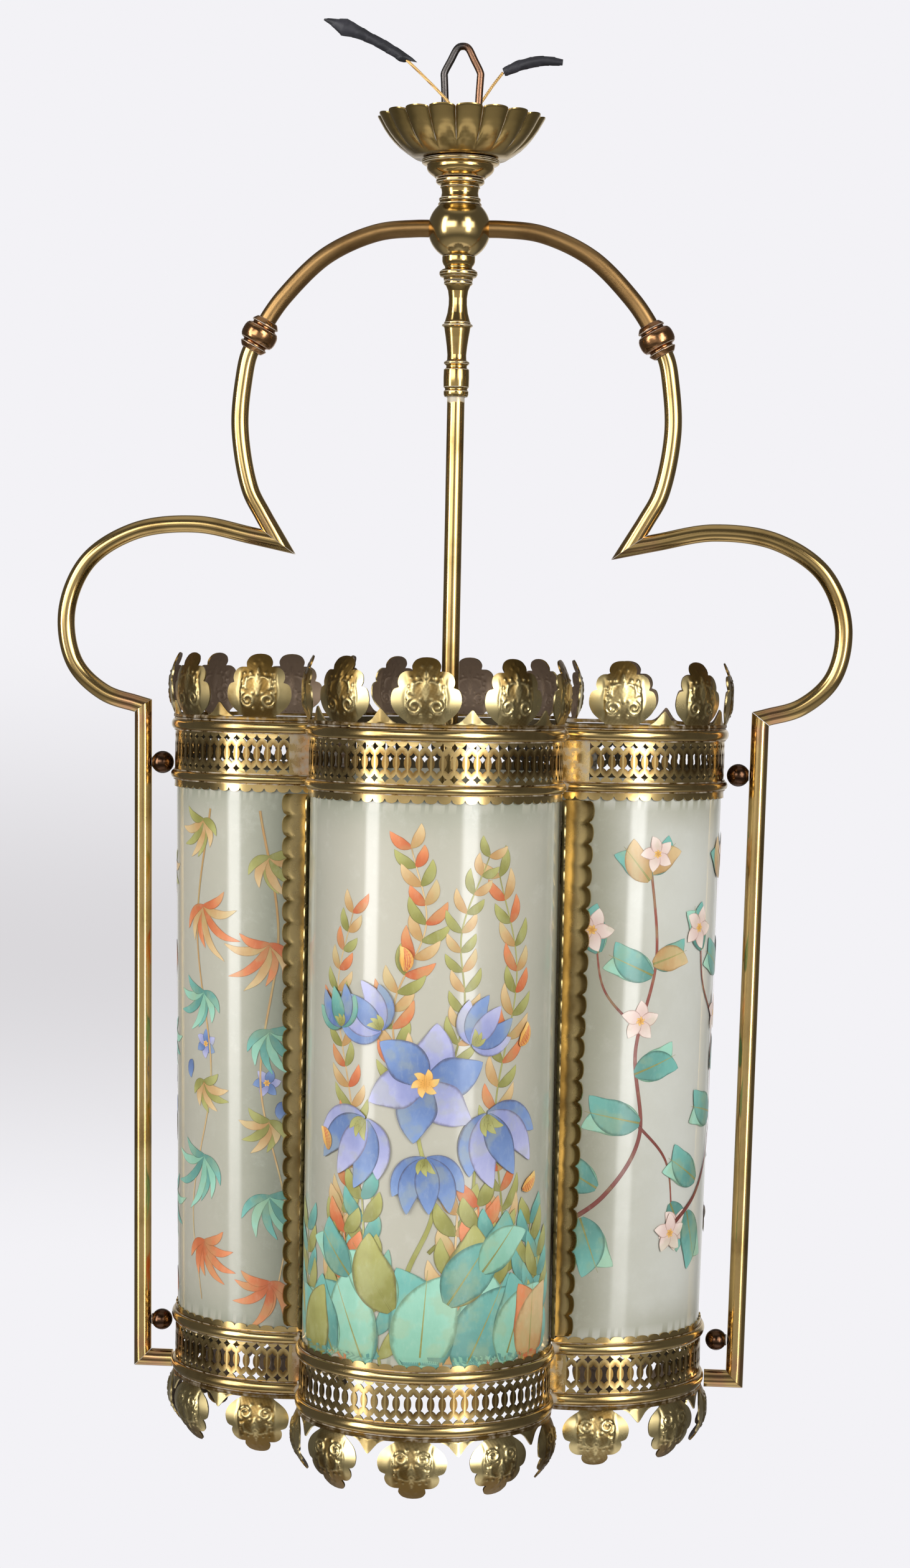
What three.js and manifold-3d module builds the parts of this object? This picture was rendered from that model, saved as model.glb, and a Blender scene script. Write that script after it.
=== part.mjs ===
// Hanging hall lantern: brass frame, four curved glass panels, pierced galleries and leaf borders.
// Millimetres, +Z up, X along the two arms, front towards -Y. The origin is the inside top of the hanging
// loop. Heights below are measured from the top edge of the upper gallery and shifted once, at the end.
import * as THREE from "three";
import { mergeVertices } from "three/addons/utils/BufferGeometryUtils.js";
import Module from "manifold-3d";

const wasm = await Module();
wasm.setup();

// Clearances
const SEAT = 0.3;
const RUNNING = 0.3;

// Frame tubing, used for arms, side tubes, foot stubs and centre tube
const TUBE_R = 4.75;
const TUBE_WALL = 1.0;
const TUBE_SIDES = 8;
const TUBE_BORE_SIDES = 4;

const DEG = Math.PI / 180;

// Central column: the ball's height, and the pieces stacked over and under it
const BALL_Z = 268.5;
const BALL_R = 17;
const CUP_H = 22.3;
const CUP_FLOOR_T = 1.2;
const CUP_RIM_R = 45.6;
const CUP_FOOT_R = 25.3;
const CUP_MID_R = 38.6;
const CUP_WALL = 1.2;
const FLUTES = 18;
const FLUTE_DEPTH = 2.4;
const FLUTE_DROP = 1.4;
const FLARE_TOP_R = 21.2;
const FLARE_MID_R = 18.2;
const FLARE_FOOT_R = 13.6;
const FLARE_H = 10.4;
const NECK_H = 14.2;
const NECK_RING_R = 13.1;
const NECK_WAIST_R = 10.4;
const NECK_FOOT_R = 11.8;
const NIPPLE_R = 5;
const NIPPLE_BORE_R = 3.5;
const NIPPLE_DEPTH_IN_BALL = 8;
const NIPPLE_IN_YOKE = 7;
const LEAD_BORE_R = 3.8;
const COLLAR_TOP_R = 9.1;
const COLLAR_RING_R = 10.1;
const COLLAR_FOOT_R = 7.4;
const COLLAR_H = 13.3;
const VASE_H = 62.3;
const VASE_SOCKET_DEPTH = 12;

// Turned outline of the stem: [radius, share of the height from the top]
const VASE_OUTLINE = [[5.6, 0.16], [6.8, 0.337], [8.25, 0.38], [6.8, 0.425], [5.6, 0.636], [6.9, 0.713],
  [6.1, 0.758], [7.2, 0.843], [6.9, 0.963], [6.1, 1]];

// Hanging loop and the yoke that it turns on
const LOOP_WIRE_R = 2;
const LOOP_TOP_ABOVE_PIVOT = 45.2;
const LOOP_LEG_X = 9.2;
const LOOP_BELLY_X = 11;
const LOOP_LEG_TOP = 14;
const LOOP_BELLY_RISE = 26;
const LOOP_SHOULDER_DROP = 10.5;
const LOOP_BEND_DROP = 3;
const PIVOT_ABOVE_YOKE = 6;
const YOKE_ACROSS_FLATS = 17;
const YOKE_BASE_H = 7.5;
const EAR_T = 2.4;
const EAR_GAP = 9;
const TRUNNION_INSIDE_EAR = 0.3;
const EAR_HALF_DEPTH = 4;

// Arms in the XZ plane, right-hand side. Points from ball to cusp are [x, drop below the ball]; those of the
// scroll are [share of the way out from cusp to elbow, rise above the elbow].
const ARM_SOCKET_X = 10;
const ARM_STRAIGHT_X = 24;
const KNUCKLE_X = 108;
const KNUCKLE_DROP = 58.5;
const KNUCKLE_SLOPE = 62;
const KNUCKLE_STRAIGHT = 2;
const UPPER_ARM = [[45, 2.5], [72, 15], [94, 36.5]];
const LOWER_ARM = [[116, 81.5], [117.8, 108.5], [111.8, 141.8], [104.6, 155.6]];
const CUSP_X = 95.6;
const CUSP_DROP = 170.5;
const CUSP_NOSE = 4;
const SCROLL = [[0.2082, 94.2], [0.6219, 99.8], [1.0849, 95.5], [1.4411, 78.5], [1.6014, 51], [1.5315, 23],
  [1.3, 6.8]];
const ELBOW_Z = 7;
const SIDE_GAP = 14.2;
const KNUCKLE_RING_R = 9.8;
const KNUCKLE_END_R = 7.4;
const KNUCKLE_HALF_L = 9.4;
const FOOT_RISE = 2;

// Cage: four round lobes in plan. Each sweeps WRAP degrees either side of its middle before it meets the next,
// a little less at the foot. Heights run down from the top edge of the upper gallery.
const SHEET_R = 65.8;
const SHEET_T = 0.8;
const WRAP_TOP = 109.34;
const WRAP_FOOT = 102.4;
const LOBE_STEP = 18;
const PANEL_END = 98;
const BEAD_T = 1.8;
const TOP_EDGE_Z = 1.4;
const UPPER_BEAD_H = 6.8;
const UPPER_PIERCED_H = 21.1;
const UPPER_LOW_BEAD_H = 5.7;
const APRON_H = 3.9;
const PANEL_H = 282.9;
const RIM_H = 3.1;
const LOWER_BEAD_H = 6.6;
const LOWER_PIERCED_H = 19.9;
const LOWER_LOW_BEAD_H = 6.9;
const SLOT_W = 2.2;
const SLOT_MARGIN = 3;
const SLOTS_PER_FACET = 2;
const PLAIN_FACETS = 1;

// Glass, posts and clips
const GLASS_T = 2.6;
const GLASS_LAP = 7;
const GLASS_LEDGE_W = 8;
const GLASS_LEDGE_H = 1;
const LEDGE_FACETS = [-3, 2];
const POST_T = 0.8;
const POST_LEG_SHARE = 0.8;
const CLIP_T = 0.8;
const TOP_CLIP = [16.5, 43.9];
const FOOT_CLIPS = [[68, 84], [17, 60]];
const CLIP_LEG_SHARE = 0.35;

// Leaf castings
const STRIP_OUT = 1.2;
const STRIP_T = 1.6;
const STRIP_H = 3.6;
const LEAF_ANGLES = [-80, -40, 0, 40, 80];
const TOOTH_ANGLES = [-60, -20, 20, 60];
const CREST_LEAF_H = 32.5;
const FRINGE_LEAF_H = 30.5;
const LEAF_T = 1.2;
const LEAF_BELLY = 4;
const CREST_TIP_IN = 2;
const LEAF_FOOT_HALF_W = 10.8;
const LEAF_HALF_W = 19;
const FRINGE_TIP_IN = 6;
const TOOTH_W = 17;
const TOOTH_H = 7;

// Half outline of a leaf: [share of the half width, share of the height]
const LEAF_HALF_OUTLINE = [[1, 0.265], [0.82, 0.59], [0.45, 0.926]];

// Spacer balls
const TOP_SPACER_R = 6.2;
const TOP_SPACER_RISE = 2.7;
const TOP_SPACER_OUT = 1.2;
const FOOT_SPACER_R = 5.8;
const FOOT_SPACER_DROP = 3.5;
const FOOT_SPACER_OUT = 2.4;
const SPACER_NECK_R = 2.4;

// Lampholder and bulb
const CENTRE_TUBE_FOOT_Z = -50;
const HOLDER_GRIP = 6;
const HOLDER_CAP_R = 14.5;
const HOLDER_CAP_DROP = 20;
const SHELL_R = 13;
const SHELL_WALL = 1.5;
const SHELL_L = 34;
const RING_R = 19;
const RING_H = 5;
const RING_DROP = 7;
const INSERT_IN_CAP = 4;
const INSERT_H = 10;
const PLUNGER_R = 1.7;
const PLUNGER_X = 5.3;
const PLUNGER_OUT = 5.7;
const PLUNGER_L = 12.7;
const BULB_CAP_R = 10.9;
const BULB_CAP_L = 24;
const BULB_CAP_WALL = 0.8;
const BULB_CAP_TOP_T = 2;
const BULB_PIN_R = 1.05;
const BULB_PIN_REACH = 13.4;
const BULB_PIN_DROP = 11;
const BULB_TWIST = 20;
const SLOT_CLEAR = 0.5;
const BULB_R = 30;
const BULB_L = 84;
const BULB_WALL = 1;
const BULB_NECK_IN = 7;

// Supply leads: routes chosen by hand, from the nipple's mouth to the start of the sleeve
const LEAD_R = 0.8;
const LEAD_SIDES = 8;
const LEAD_Y = 1.6;
const SLEEVE_R = 2.4;
const LEFT_LEAD = [[-0.6, -3.4, 320.7], [-2.4, -6, 327.7], [-6.4, -8.5, 334.7], [-12, -8.8, 340.7],
  [-20, -7, 348.7], [-30, -5, 358.2]];
const LEFT_SLEEVE = [[-30, -5, 358.2], [-41, -4.6, 365.2], [-53, -4.2, 371.2], [-64, -4, 375.7],
  [-75, -4, 379.7]];
const RIGHT_LEAD = [[0.6, 3.4, 320.7], [3.4, 6.4, 328.2], [7.4, 8.8, 334.7], [11.5, 9.4, 340.7],
  [16, 9, 347.3], [21.5, 8, 354.2]];
const RIGHT_SLEEVE = [[21.5, 8, 354.2], [32, 7.4, 358.3], [43, 6.6, 360.1], [53.5, 6, 359.2]];

// Heights and places worked out from the sizes above
const APRON_TOP_Z = TOP_EDGE_Z - UPPER_BEAD_H - UPPER_PIERCED_H - UPPER_LOW_BEAD_H;
const APRON_Z = APRON_TOP_Z - APRON_H;
const RIM_Z = APRON_Z - PANEL_H;
const LOWER_TOP_Z = RIM_Z - RIM_H;
const LOWER_FOOT_Z = LOWER_TOP_Z - LOWER_BEAD_H - LOWER_PIERCED_H - LOWER_LOW_BEAD_H;
const TOP_BEAD_Z = [TOP_EDGE_Z - UPPER_BEAD_H, TOP_EDGE_Z];
const TOP_LOW_BEAD_Z = [APRON_TOP_Z, APRON_TOP_Z + UPPER_LOW_BEAD_H];
const FOOT_BEAD_Z = [LOWER_TOP_Z - LOWER_BEAD_H, LOWER_TOP_Z];
const FOOT_LOW_BEAD_Z = [LOWER_FOOT_Z, LOWER_FOOT_Z + LOWER_LOW_BEAD_H];
const LOBE_C_TOP = Math.SQRT2 * SHEET_R * Math.sin((WRAP_TOP - 45) * DEG);
const LOBE_C_FOOT = Math.SQRT2 * SHEET_R * Math.sin((WRAP_FOOT - 45) * DEG);
const STRIP_R = SHEET_R + STRIP_OUT;
const CUSP_Z = BALL_Z - CUSP_DROP;
const ELBOW_X = LOBE_C_TOP + SHEET_R + SIDE_GAP + TUBE_R;
const FOOT_X = LOBE_C_FOOT + SHEET_R + SIDE_GAP + TUBE_R;
const FOOT_Z = LOWER_FOOT_Z + FOOT_RISE;
const HOLDER_CAP_FOOT_Z = CENTRE_TUBE_FOOT_Z - HOLDER_CAP_DROP;
const INSERT_TOP_Z = HOLDER_CAP_FOOT_Z + INSERT_IN_CAP;
const NECK_FOOT_Z = BALL_Z + Math.sqrt((BALL_R + SEAT) ** 2 - NECK_FOOT_R ** 2);
const NECK_TOP_Z = NECK_FOOT_Z + NECK_H;
const FLARE_TOP_Z = NECK_TOP_Z + SEAT + FLARE_H;
const CUP_FLOOR_Z = FLARE_TOP_Z + SEAT;
const COLLAR_FOOT_Z = BALL_Z - Math.sqrt((BALL_R + SEAT) ** 2 - COLLAR_TOP_R ** 2) - COLLAR_H;
const VASE_TOP_Z = COLLAR_FOOT_Z - SEAT;
const VASE_FOOT_Z = VASE_TOP_Z - VASE_H;

// Materials
const metal = (color, roughness) => new THREE.MeshStandardMaterial({ color, roughness, metalness: 1 });
const BRASS = metal(0xb8963e, 0.35);
const DARK_BRASS = metal(0x8a6a35, 0.45);
const BROWN_BRASS = metal(0x5d4030, 0.45);
const STEEL = metal(0x6a6763, 0.45);
const GLASS = new THREE.MeshStandardMaterial({
  color: 0xc3c9bf, roughness: 0.45, metalness: 0, transparent: true, opacity: 0.75,
});
const CERAMIC = new THREE.MeshStandardMaterial({ color: 0xdedad0, roughness: 0.5, metalness: 0 });
const TAPE = new THREE.MeshStandardMaterial({ color: 0x1a1a1c, roughness: 0.7, metalness: 0 });
const LEAD = new THREE.MeshStandardMaterial({ color: 0xb08a4a, roughness: 0.6, metalness: 0 });

// Solids
function solidOf(geometry) {
  const bare = geometry.index ? geometry.toNonIndexed() : geometry.clone();
  bare.deleteAttribute("normal");
  bare.deleteAttribute("uv");
  const merged = mergeVertices(bare, 1e-4);
  const vertProperties = merged.attributes.position.array;
  const triVerts = new Uint32Array(merged.index.array);
  return new wasm.Manifold(new wasm.Mesh({ numProp: 3, vertProperties, triVerts }));
}

function geometryOf(solid) {
  const mesh = solid.getMesh();
  const geometry = new THREE.BufferGeometry();
  geometry.setAttribute("position", new THREE.BufferAttribute(new Float32Array(mesh.vertProperties), 3));
  geometry.setIndex(new THREE.BufferAttribute(new Uint32Array(mesh.triVerts), 1));
  return geometry;
}

const joined = (pieces) => geometryOf(pieces.map(solidOf).reduce((sum, piece) => sum.add(piece)));
const without = (body, tools) => geometryOf(tools.map(solidOf).reduce((left, tool) => left.subtract(tool),
  solidOf(body)));
const common = (a, b) => geometryOf(solidOf(a).intersect(solidOf(b)));

// A turned piece about Z from [radius, height] points, closed on itself or on the axis.
function turned(profile, sides) {
  const points = profile.map(([r, z]) => new THREE.Vector2(r, z));
  if (THREE.ShapeUtils.area(points) < 0) points.reverse();
  const onAxis = points.findIndex((p, i) => p.x === 0 && points[(i + 1) % points.length].x === 0);
  const start = onAxis < 0 ? 0 : onAxis + 1;
  const ordered = points.map((p, i) => points[(i + start) % points.length]);
  if (onAxis < 0) ordered.push(ordered[0].clone());
  return new THREE.LatheGeometry(ordered, sides).rotateX(Math.PI / 2);
}

function polygon(radius, sides, turn = 0) {
  return Array.from({ length: sides }, (_, i) => {
    const angle = turn + (i * 2 * Math.PI) / sides;
    return new THREE.Vector2(radius * Math.cos(angle), radius * Math.sin(angle));
  });
}

function ringShape(outer, inner) {
  const shape = new THREE.Shape(outer);
  if (inner) shape.holes.push(new THREE.Path(inner));
  return shape;
}

const tubeSection = () => ringShape(polygon(TUBE_R, TUBE_SIDES), polygon(TUBE_R - TUBE_WALL, TUBE_BORE_SIDES));

// A prism standing on z0, its plan outline given as [x, y] points or vectors.
function prism(shape, z0, z1) {
  return new THREE.ExtrudeGeometry(shape, { depth: z1 - z0, bevelEnabled: false }).translate(0, 0, z0);
}

function sweep(section, curve, steps) {
  return new THREE.ExtrudeGeometry(section, { steps, extrudePath: curve, bevelEnabled: false });
}

// A prism whose plan changes evenly from the outline at z0 to the outline at z1, point for point.
function loft(outlineAt, z0, z1) {
  const low = outlineAt(z0);
  const high = outlineAt(z1);
  const geometry = prism(new THREE.Shape(high), z0, z1);
  const position = geometry.attributes.position;
  const middle = (z0 + z1) / 2;
  for (let i = 0; i < position.count; i += 1) {
    if (position.getZ(i) > middle) continue;
    const at = new THREE.Vector2(position.getX(i), position.getY(i));
    const nearest = high.reduce((best, p, k) => (p.distanceTo(at) < high[best].distanceTo(at) ? k : best), 0);
    position.setXY(i, low[nearest].x, low[nearest].y);
  }
  return geometry;
}

// Keeps what lies behind the plane through point, that is on the side away from normal.
function behindPlane(geometry, point, normal) {
  const size = 900;
  const box = new THREE.BoxGeometry(size, size, size).translate(0, 0, size / 2);
  box.applyQuaternion(new THREE.Quaternion().setFromUnitVectors(new THREE.Vector3(0, 0, 1), normal));
  box.translate(point.x, point.y, point.z);
  return without(geometry, [box]);
}

const inPlane = (x, z) => new THREE.Vector3(x, 0, z);
const mirrored = (geometry) => geometry.clone().rotateZ(Math.PI);

// Lobe plan, in a frame whose +X points out along the lobe. Angles are from that direction.
const cageCentre = (z) => THREE.MathUtils.mapLinear(z, APRON_Z, RIM_Z, LOBE_C_TOP, LOBE_C_FOOT);

// Angle at which a lobe of radius r stops, a distance short of the diagonal plane.
function endAngle(c, r, short) {
  return 45 + Math.asin((c - Math.SQRT2 * short) / (Math.SQRT2 * r)) / DEG;
}

function lobePoint(c, r, angle) {
  return new THREE.Vector2(c + r * Math.cos(angle * DEG), r * Math.sin(angle * DEG));
}

// Points along a lobe from -end to +end, on the shared facet angles.
function lobeArc(c, r, end) {
  const angles = [];
  for (let angle = -90; angle <= 90; angle += LOBE_STEP) angles.push(angle);
  const beyond = end > PANEL_END ? [PANEL_END, end] : [end];
  const all = [...beyond.map((angle) => -angle).reverse(), ...angles, ...beyond];
  return all.map((angle) => lobePoint(c, r, angle));
}

function lobeBand(c, outer, inner, end) {
  return [...lobeArc(c, outer, end), ...lobeArc(c, inner, end).reverse()];
}

// Whole quatrefoil outline of radius r, lobes joined at the diagonals.
function quatrefoil(c, r) {
  const end = endAngle(c, r, 0);
  const outline = [];
  for (let lobe = 0; lobe < 4; lobe += 1) {
    const turn = (lobe * Math.PI) / 2;
    const arc = lobeArc(c, r, end).slice(0, -1);
    outline.push(...arc.map((p) => p.rotateAround(new THREE.Vector2(), turn)));
  }
  return outline;
}

const GLASS_R = SHEET_R - SHEET_T - SEAT - 0.1;
const GLASS_TOP_Z = APRON_Z + GLASS_LAP;
const GLASS_FOOT_Z = RIM_Z - GLASS_LAP;

// Scene
const lantern = new THREE.Group();
lantern.name = "hall_lantern";

function add(name, geometry, material, turn = 0) {
  const mesh = new THREE.Mesh(geometry, material);
  mesh.name = name;
  mesh.rotation.z = turn;
  lantern.add(mesh);
}

// Ceiling cup, fluted: every second line of the turned wall is drawn in and down.
function ceilingCup() {
  const bore = NIPPLE_R + SEAT;
  const outer = [[CUP_FOOT_R, 0], [CUP_MID_R, 0.42], [CUP_RIM_R, 1]];
  const wall = outer.map(([r, share]) => [r, CUP_FLOOR_Z + CUP_H * share]);
  const floorTop = CUP_FLOOR_Z + CUP_FLOOR_T;
  const inside = outer.map(([r, share]) => [r - CUP_WALL, floorTop + (CUP_H - CUP_FLOOR_T) * share]);
  const profile = [[bore, CUP_FLOOR_Z], ...wall, ...inside.reverse(), [bore, floorTop]];
  const geometry = turned(profile, 2 * FLUTES);
  const position = geometry.attributes.position;
  for (let i = 0; i < position.count; i += 1) {
    const x = position.getX(i);
    const y = position.getY(i);
    const radius = Math.hypot(x, y);
    const rise = THREE.MathUtils.smoothstep(radius, CUP_FOOT_R - CUP_WALL, CUP_RIM_R);
    const valley = (1 - Math.cos(FLUTES * Math.atan2(y, x))) / 2;
    const scale = (radius - FLUTE_DEPTH * rise * valley) / radius;
    position.setXYZ(i, x * scale, y * scale, position.getZ(i) - FLUTE_DROP * rise * valley);
  }
  return geometry;
}

// Points on the ball's surface, raised by the seat gap, so that collars fit round it.
function onBall(radius, side) {
  const reach = BALL_R + SEAT;
  return [radius, BALL_Z + side * Math.sqrt(reach * reach - radius * radius)];
}

function centralColumn() {
  const bore = NIPPLE_R + SEAT;
  const flareFoot = FLARE_TOP_Z - FLARE_H;
  add("ceiling_cup", ceilingCup(), BRASS);
  add("neck_flare", turned([[bore, FLARE_TOP_Z], [FLARE_TOP_R, FLARE_TOP_Z],
    [FLARE_MID_R, flareFoot + 0.6 * FLARE_H], [FLARE_MID_R - 0.8, flareFoot + 0.3 * FLARE_H],
    [FLARE_FOOT_R, flareFoot], [bore, flareFoot]], 16), DARK_BRASS);
  const up = (share) => NECK_FOOT_Z + share * NECK_H;
  add("ringed_neck", turned([[bore, NECK_TOP_Z], [NECK_RING_R - 1, NECK_TOP_Z], [NECK_RING_R, up(0.9)],
    [NECK_WAIST_R, up(0.73)], [NECK_WAIST_R, up(0.46)], [NECK_FOOT_R, up(0.26)],
    onBall(NECK_FOOT_R, 1), onBall((NECK_FOOT_R + bore) / 2, 1), onBall(bore, 1)], 16), DARK_BRASS);
  add("centre_ball", centreBall(), BRASS);

  const over = (share) => COLLAR_FOOT_Z + share * COLLAR_H;
  add("stem_collar", turned([onBall(LEAD_BORE_R, -1), onBall((LEAD_BORE_R + COLLAR_TOP_R) / 2, -1),
    onBall(COLLAR_TOP_R, -1), [COLLAR_TOP_R, over(0.75)], [COLLAR_FOOT_R, over(0.57)],
    [COLLAR_RING_R, over(0.32)], [COLLAR_RING_R - 0.8, over(0.15)], [COLLAR_FOOT_R, COLLAR_FOOT_Z],
    [LEAD_BORE_R, COLLAR_FOOT_Z]], 14), BRASS);

  const socket = TUBE_R + SEAT;
  const shoulder = VASE_FOOT_Z + VASE_SOCKET_DEPTH;
  const outline = VASE_OUTLINE.map(([r, share]) => [r, VASE_TOP_Z - share * VASE_H]);
  add("stem_vase", turned([[LEAD_BORE_R, VASE_TOP_Z], [COLLAR_FOOT_R, VASE_TOP_Z], ...outline,
    [socket, VASE_FOOT_Z], [socket, shoulder], [LEAD_BORE_R, shoulder]], 12), BRASS);
  const tubeTop = shoulder - SEAT;
  const run = new THREE.LineCurve3(inPlane(0, CENTRE_TUBE_FOOT_Z), inPlane(0, tubeTop));
  add("centre_tube", sweep(tubeSection(), run, 1), DARK_BRASS);
}

function centreBall() {
  const bore = NIPPLE_R + SEAT;
  const outer = [];
  const top = Math.acos(bore / BALL_R) / DEG;
  const foot = -Math.acos(LEAD_BORE_R / BALL_R) / DEG;
  const rows = 7;
  for (let row = 0; row <= rows; row += 1) {
    const angle = THREE.MathUtils.lerp(top, foot, row / rows) * DEG;
    outer.push([BALL_R * Math.cos(angle), BALL_Z + BALL_R * Math.sin(angle)]);
  }
  const step = BALL_Z + BALL_R - NIPPLE_DEPTH_IN_BALL - SEAT;
  const body = turned([...outer, [LEAD_BORE_R, step], [bore, step]], 16);
  const reach = BALL_R + 5;
  const sockets = [1, -1].map((side) => {
    const from = inPlane(side * (ARM_SOCKET_X - SEAT), BALL_Z);
    const section = new THREE.Shape(polygon(TUBE_R + SEAT, TUBE_SIDES));
    return sweep(section, new THREE.LineCurve3(from, inPlane(side * reach, BALL_Z)), 1);
  });
  return without(body, sockets);
}

// Nipple, yoke that clamps the cup, and the wire loop whose ends turn in the yoke's ears
function hanging() {
  const yokeFoot = CUP_FLOOR_Z + CUP_FLOOR_T + SEAT;
  const yokeTop = yokeFoot + YOKE_BASE_H;
  const nippleTop = yokeFoot + NIPPLE_IN_YOKE;
  const nippleFoot = BALL_Z + BALL_R - NIPPLE_DEPTH_IN_BALL;
  const nippleSection = ringShape(polygon(NIPPLE_R, 12), polygon(NIPPLE_BORE_R, 8));
  add("cup_nipple", prism(nippleSection, nippleFoot, nippleTop), BRASS);

  const pivotZ = yokeTop + PIVOT_ABOVE_YOKE;
  const hexR = YOKE_ACROSS_FLATS / Math.sqrt(3);
  const base = prism(ringShape(polygon(hexR, 6), polygon(NIPPLE_R + SEAT, 12)), yokeFoot, yokeTop);
  const earX = EAR_GAP / 2 + EAR_T / 2;
  const earTop = pivotZ + EAR_HALF_DEPTH;
  const earFoot = yokeTop - SEAT / 2;
  const ears = [earX, -earX].map((x) => new THREE.BoxGeometry(EAR_T, 2 * EAR_HALF_DEPTH, earTop - earFoot)
    .translate(x, 0, (earTop + earFoot) / 2));
  const across = (r, from, to) => prism(new THREE.Shape(polygon(r, 12)), from, to).rotateY(Math.PI / 2)
    .translate(0, 0, pivotZ);
  const holes = across(LOOP_WIRE_R + RUNNING, -2 * hexR, 2 * hexR);
  add("loop_yoke", without(joined([base, ...ears]), [holes]), DARK_BRASS);

  const trunnion = across(LOOP_WIRE_R, EAR_GAP / 2 - TRUNNION_INSIDE_EAR, LOOP_LEG_X);
  const crest = pivotZ + LOOP_TOP_ABOVE_PIVOT;
  const half = [[LOOP_LEG_X, pivotZ - LOOP_WIRE_R], [LOOP_LEG_X, pivotZ + LOOP_LEG_TOP],
    [LOOP_BELLY_X, pivotZ + LOOP_BELLY_RISE], [0.75 * LOOP_BELLY_X, crest - LOOP_SHOULDER_DROP],
    [0.36 * LOOP_BELLY_X, crest - LOOP_BEND_DROP]];
  const left = half.map(([x, z]) => inPlane(-x, z));
  const right = half.map(([x, z]) => inPlane(x, z)).reverse();
  const bend = new THREE.CatmullRomCurve3([...left, inPlane(0, crest), ...right]);
  const wire = sweep(new THREE.Shape(polygon(LOOP_WIRE_R, 8)), bend, 20);
  add("hanging_loop", joined([wire, trunnion, mirrored(trunnion)]), STEEL);
  return { nippleTop, seatZ: crest - LOOP_WIRE_R };
}

// Bent tube pieces of one arm, right-hand side
function armPieces() {
  const straight = KNUCKLE_HALF_L + KNUCKLE_STRAIGHT;
  const stepX = straight * Math.cos(KNUCKLE_SLOPE * DEG);
  const stepZ = straight * Math.sin(KNUCKLE_SLOPE * DEG);
  const upper = [[ARM_SOCKET_X, 0], [ARM_STRAIGHT_X, 0], ...UPPER_ARM,
    [KNUCKLE_X - stepX, KNUCKLE_DROP - stepZ]];
  const lower = [[KNUCKLE_X, KNUCKLE_DROP], [KNUCKLE_X + stepX, KNUCKLE_DROP + stepZ], ...LOWER_ARM,
    [CUSP_X, CUSP_DROP]];
  const whole = new THREE.CatmullRomCurve3([...upper, ...lower].map(([x, drop]) => inPlane(x, BALL_Z - drop)));
  const knuckleAt = upper.length / (upper.length + lower.length - 1);
  const along = whole.getTangent(knuckleAt);
  const centre = inPlane(KNUCKLE_X, BALL_Z - KNUCKLE_DROP);
  const upperPath = new THREE.CatmullRomCurve3([...samples(whole, 0, knuckleAt, 8)]);
  const towardsCusp = whole.getTangent(1);
  const nose = inPlane(CUSP_X, CUSP_Z).addScaledVector(towardsCusp, CUSP_NOSE);
  const lowerPath = new THREE.CatmullRomCurve3([...samples(whole, knuckleAt, 1, 8), nose]);

  const scrollPoints = [...SCROLL, [1, 0]].map(([share, rise]) => inPlane(
    THREE.MathUtils.lerp(CUSP_X, ELBOW_X, share), ELBOW_Z + rise));
  const outward = scrollPoints[0].clone().sub(inPlane(CUSP_X, CUSP_Z)).normalize();
  const scrollNose = inPlane(CUSP_X, CUSP_Z).addScaledVector(outward, -CUSP_NOSE);
  const last = scrollPoints.at(-1);
  const intoElbow = last.clone().sub(scrollPoints.at(-2)).normalize();
  const past = last.clone().addScaledVector(intoElbow, 2 * TUBE_R);
  const scrollPath = new THREE.CatmullRomCurve3([scrollNose, ...scrollPoints, past]);

  const down = inPlane(FOOT_X - ELBOW_X, FOOT_Z - ELBOW_Z).normalize();
  const elbow = inPlane(ELBOW_X, ELBOW_Z);
  const foot = inPlane(FOOT_X, FOOT_Z);
  const sidePath = new THREE.LineCurve3(elbow.clone().addScaledVector(down, -3 * TUBE_R),
    foot.clone().addScaledVector(down, 2 * TUBE_R));
  const inward = inPlane(-1, 0);
  const bandX = LOBE_C_FOOT + SHEET_R + SEAT + BEAD_T + SEAT;
  const stubPath = new THREE.LineCurve3(foot.clone().addScaledVector(inward, -2 * TUBE_R),
    inPlane(bandX, FOOT_Z));

  // Each joint is a plane, and each tube stops half a seat gap short of it.
  const cut = (geometry, point, normal) => behindPlane(geometry,
    point.clone().addScaledVector(normal, -SEAT / 2), normal);
  const cuspPlane = towardsCusp.clone().add(outward).normalize();
  const elbowPlane = intoElbow.clone().add(down).normalize();
  const footPlane = down.clone().add(inward).normalize();
  const knuckleGap = (geometry, side) => cut(geometry, centre, along.clone().multiplyScalar(side));
  const tube = (path, steps) => sweep(tubeSection(), path, steps);
  const cusp = inPlane(CUSP_X, CUSP_Z);
  const scroll = cut(tube(scrollPath, 16), cusp, cuspPlane.clone().negate());
  const side = cut(tube(sidePath, 1), elbow, elbowPlane.clone().negate());
  return {
    upper_arm: knuckleGap(tube(upperPath, 7), 1),
    lower_arm: cut(knuckleGap(tube(lowerPath, 9), -1), cusp, cuspPlane),
    scroll_arm: cut(scroll, elbow, elbowPlane),
    side_tube: cut(side, foot, footPlane),
    foot_stub: cut(tube(stubPath, 1), foot, footPlane.clone().negate()),
    arm_knuckle: knuckle(centre, along),
  };
}

function samples(curve, from, to, count) {
  return Array.from({ length: count + 1 }, (_, i) => curve.getPoint(THREE.MathUtils.lerp(from, to, i / count)));
}

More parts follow.
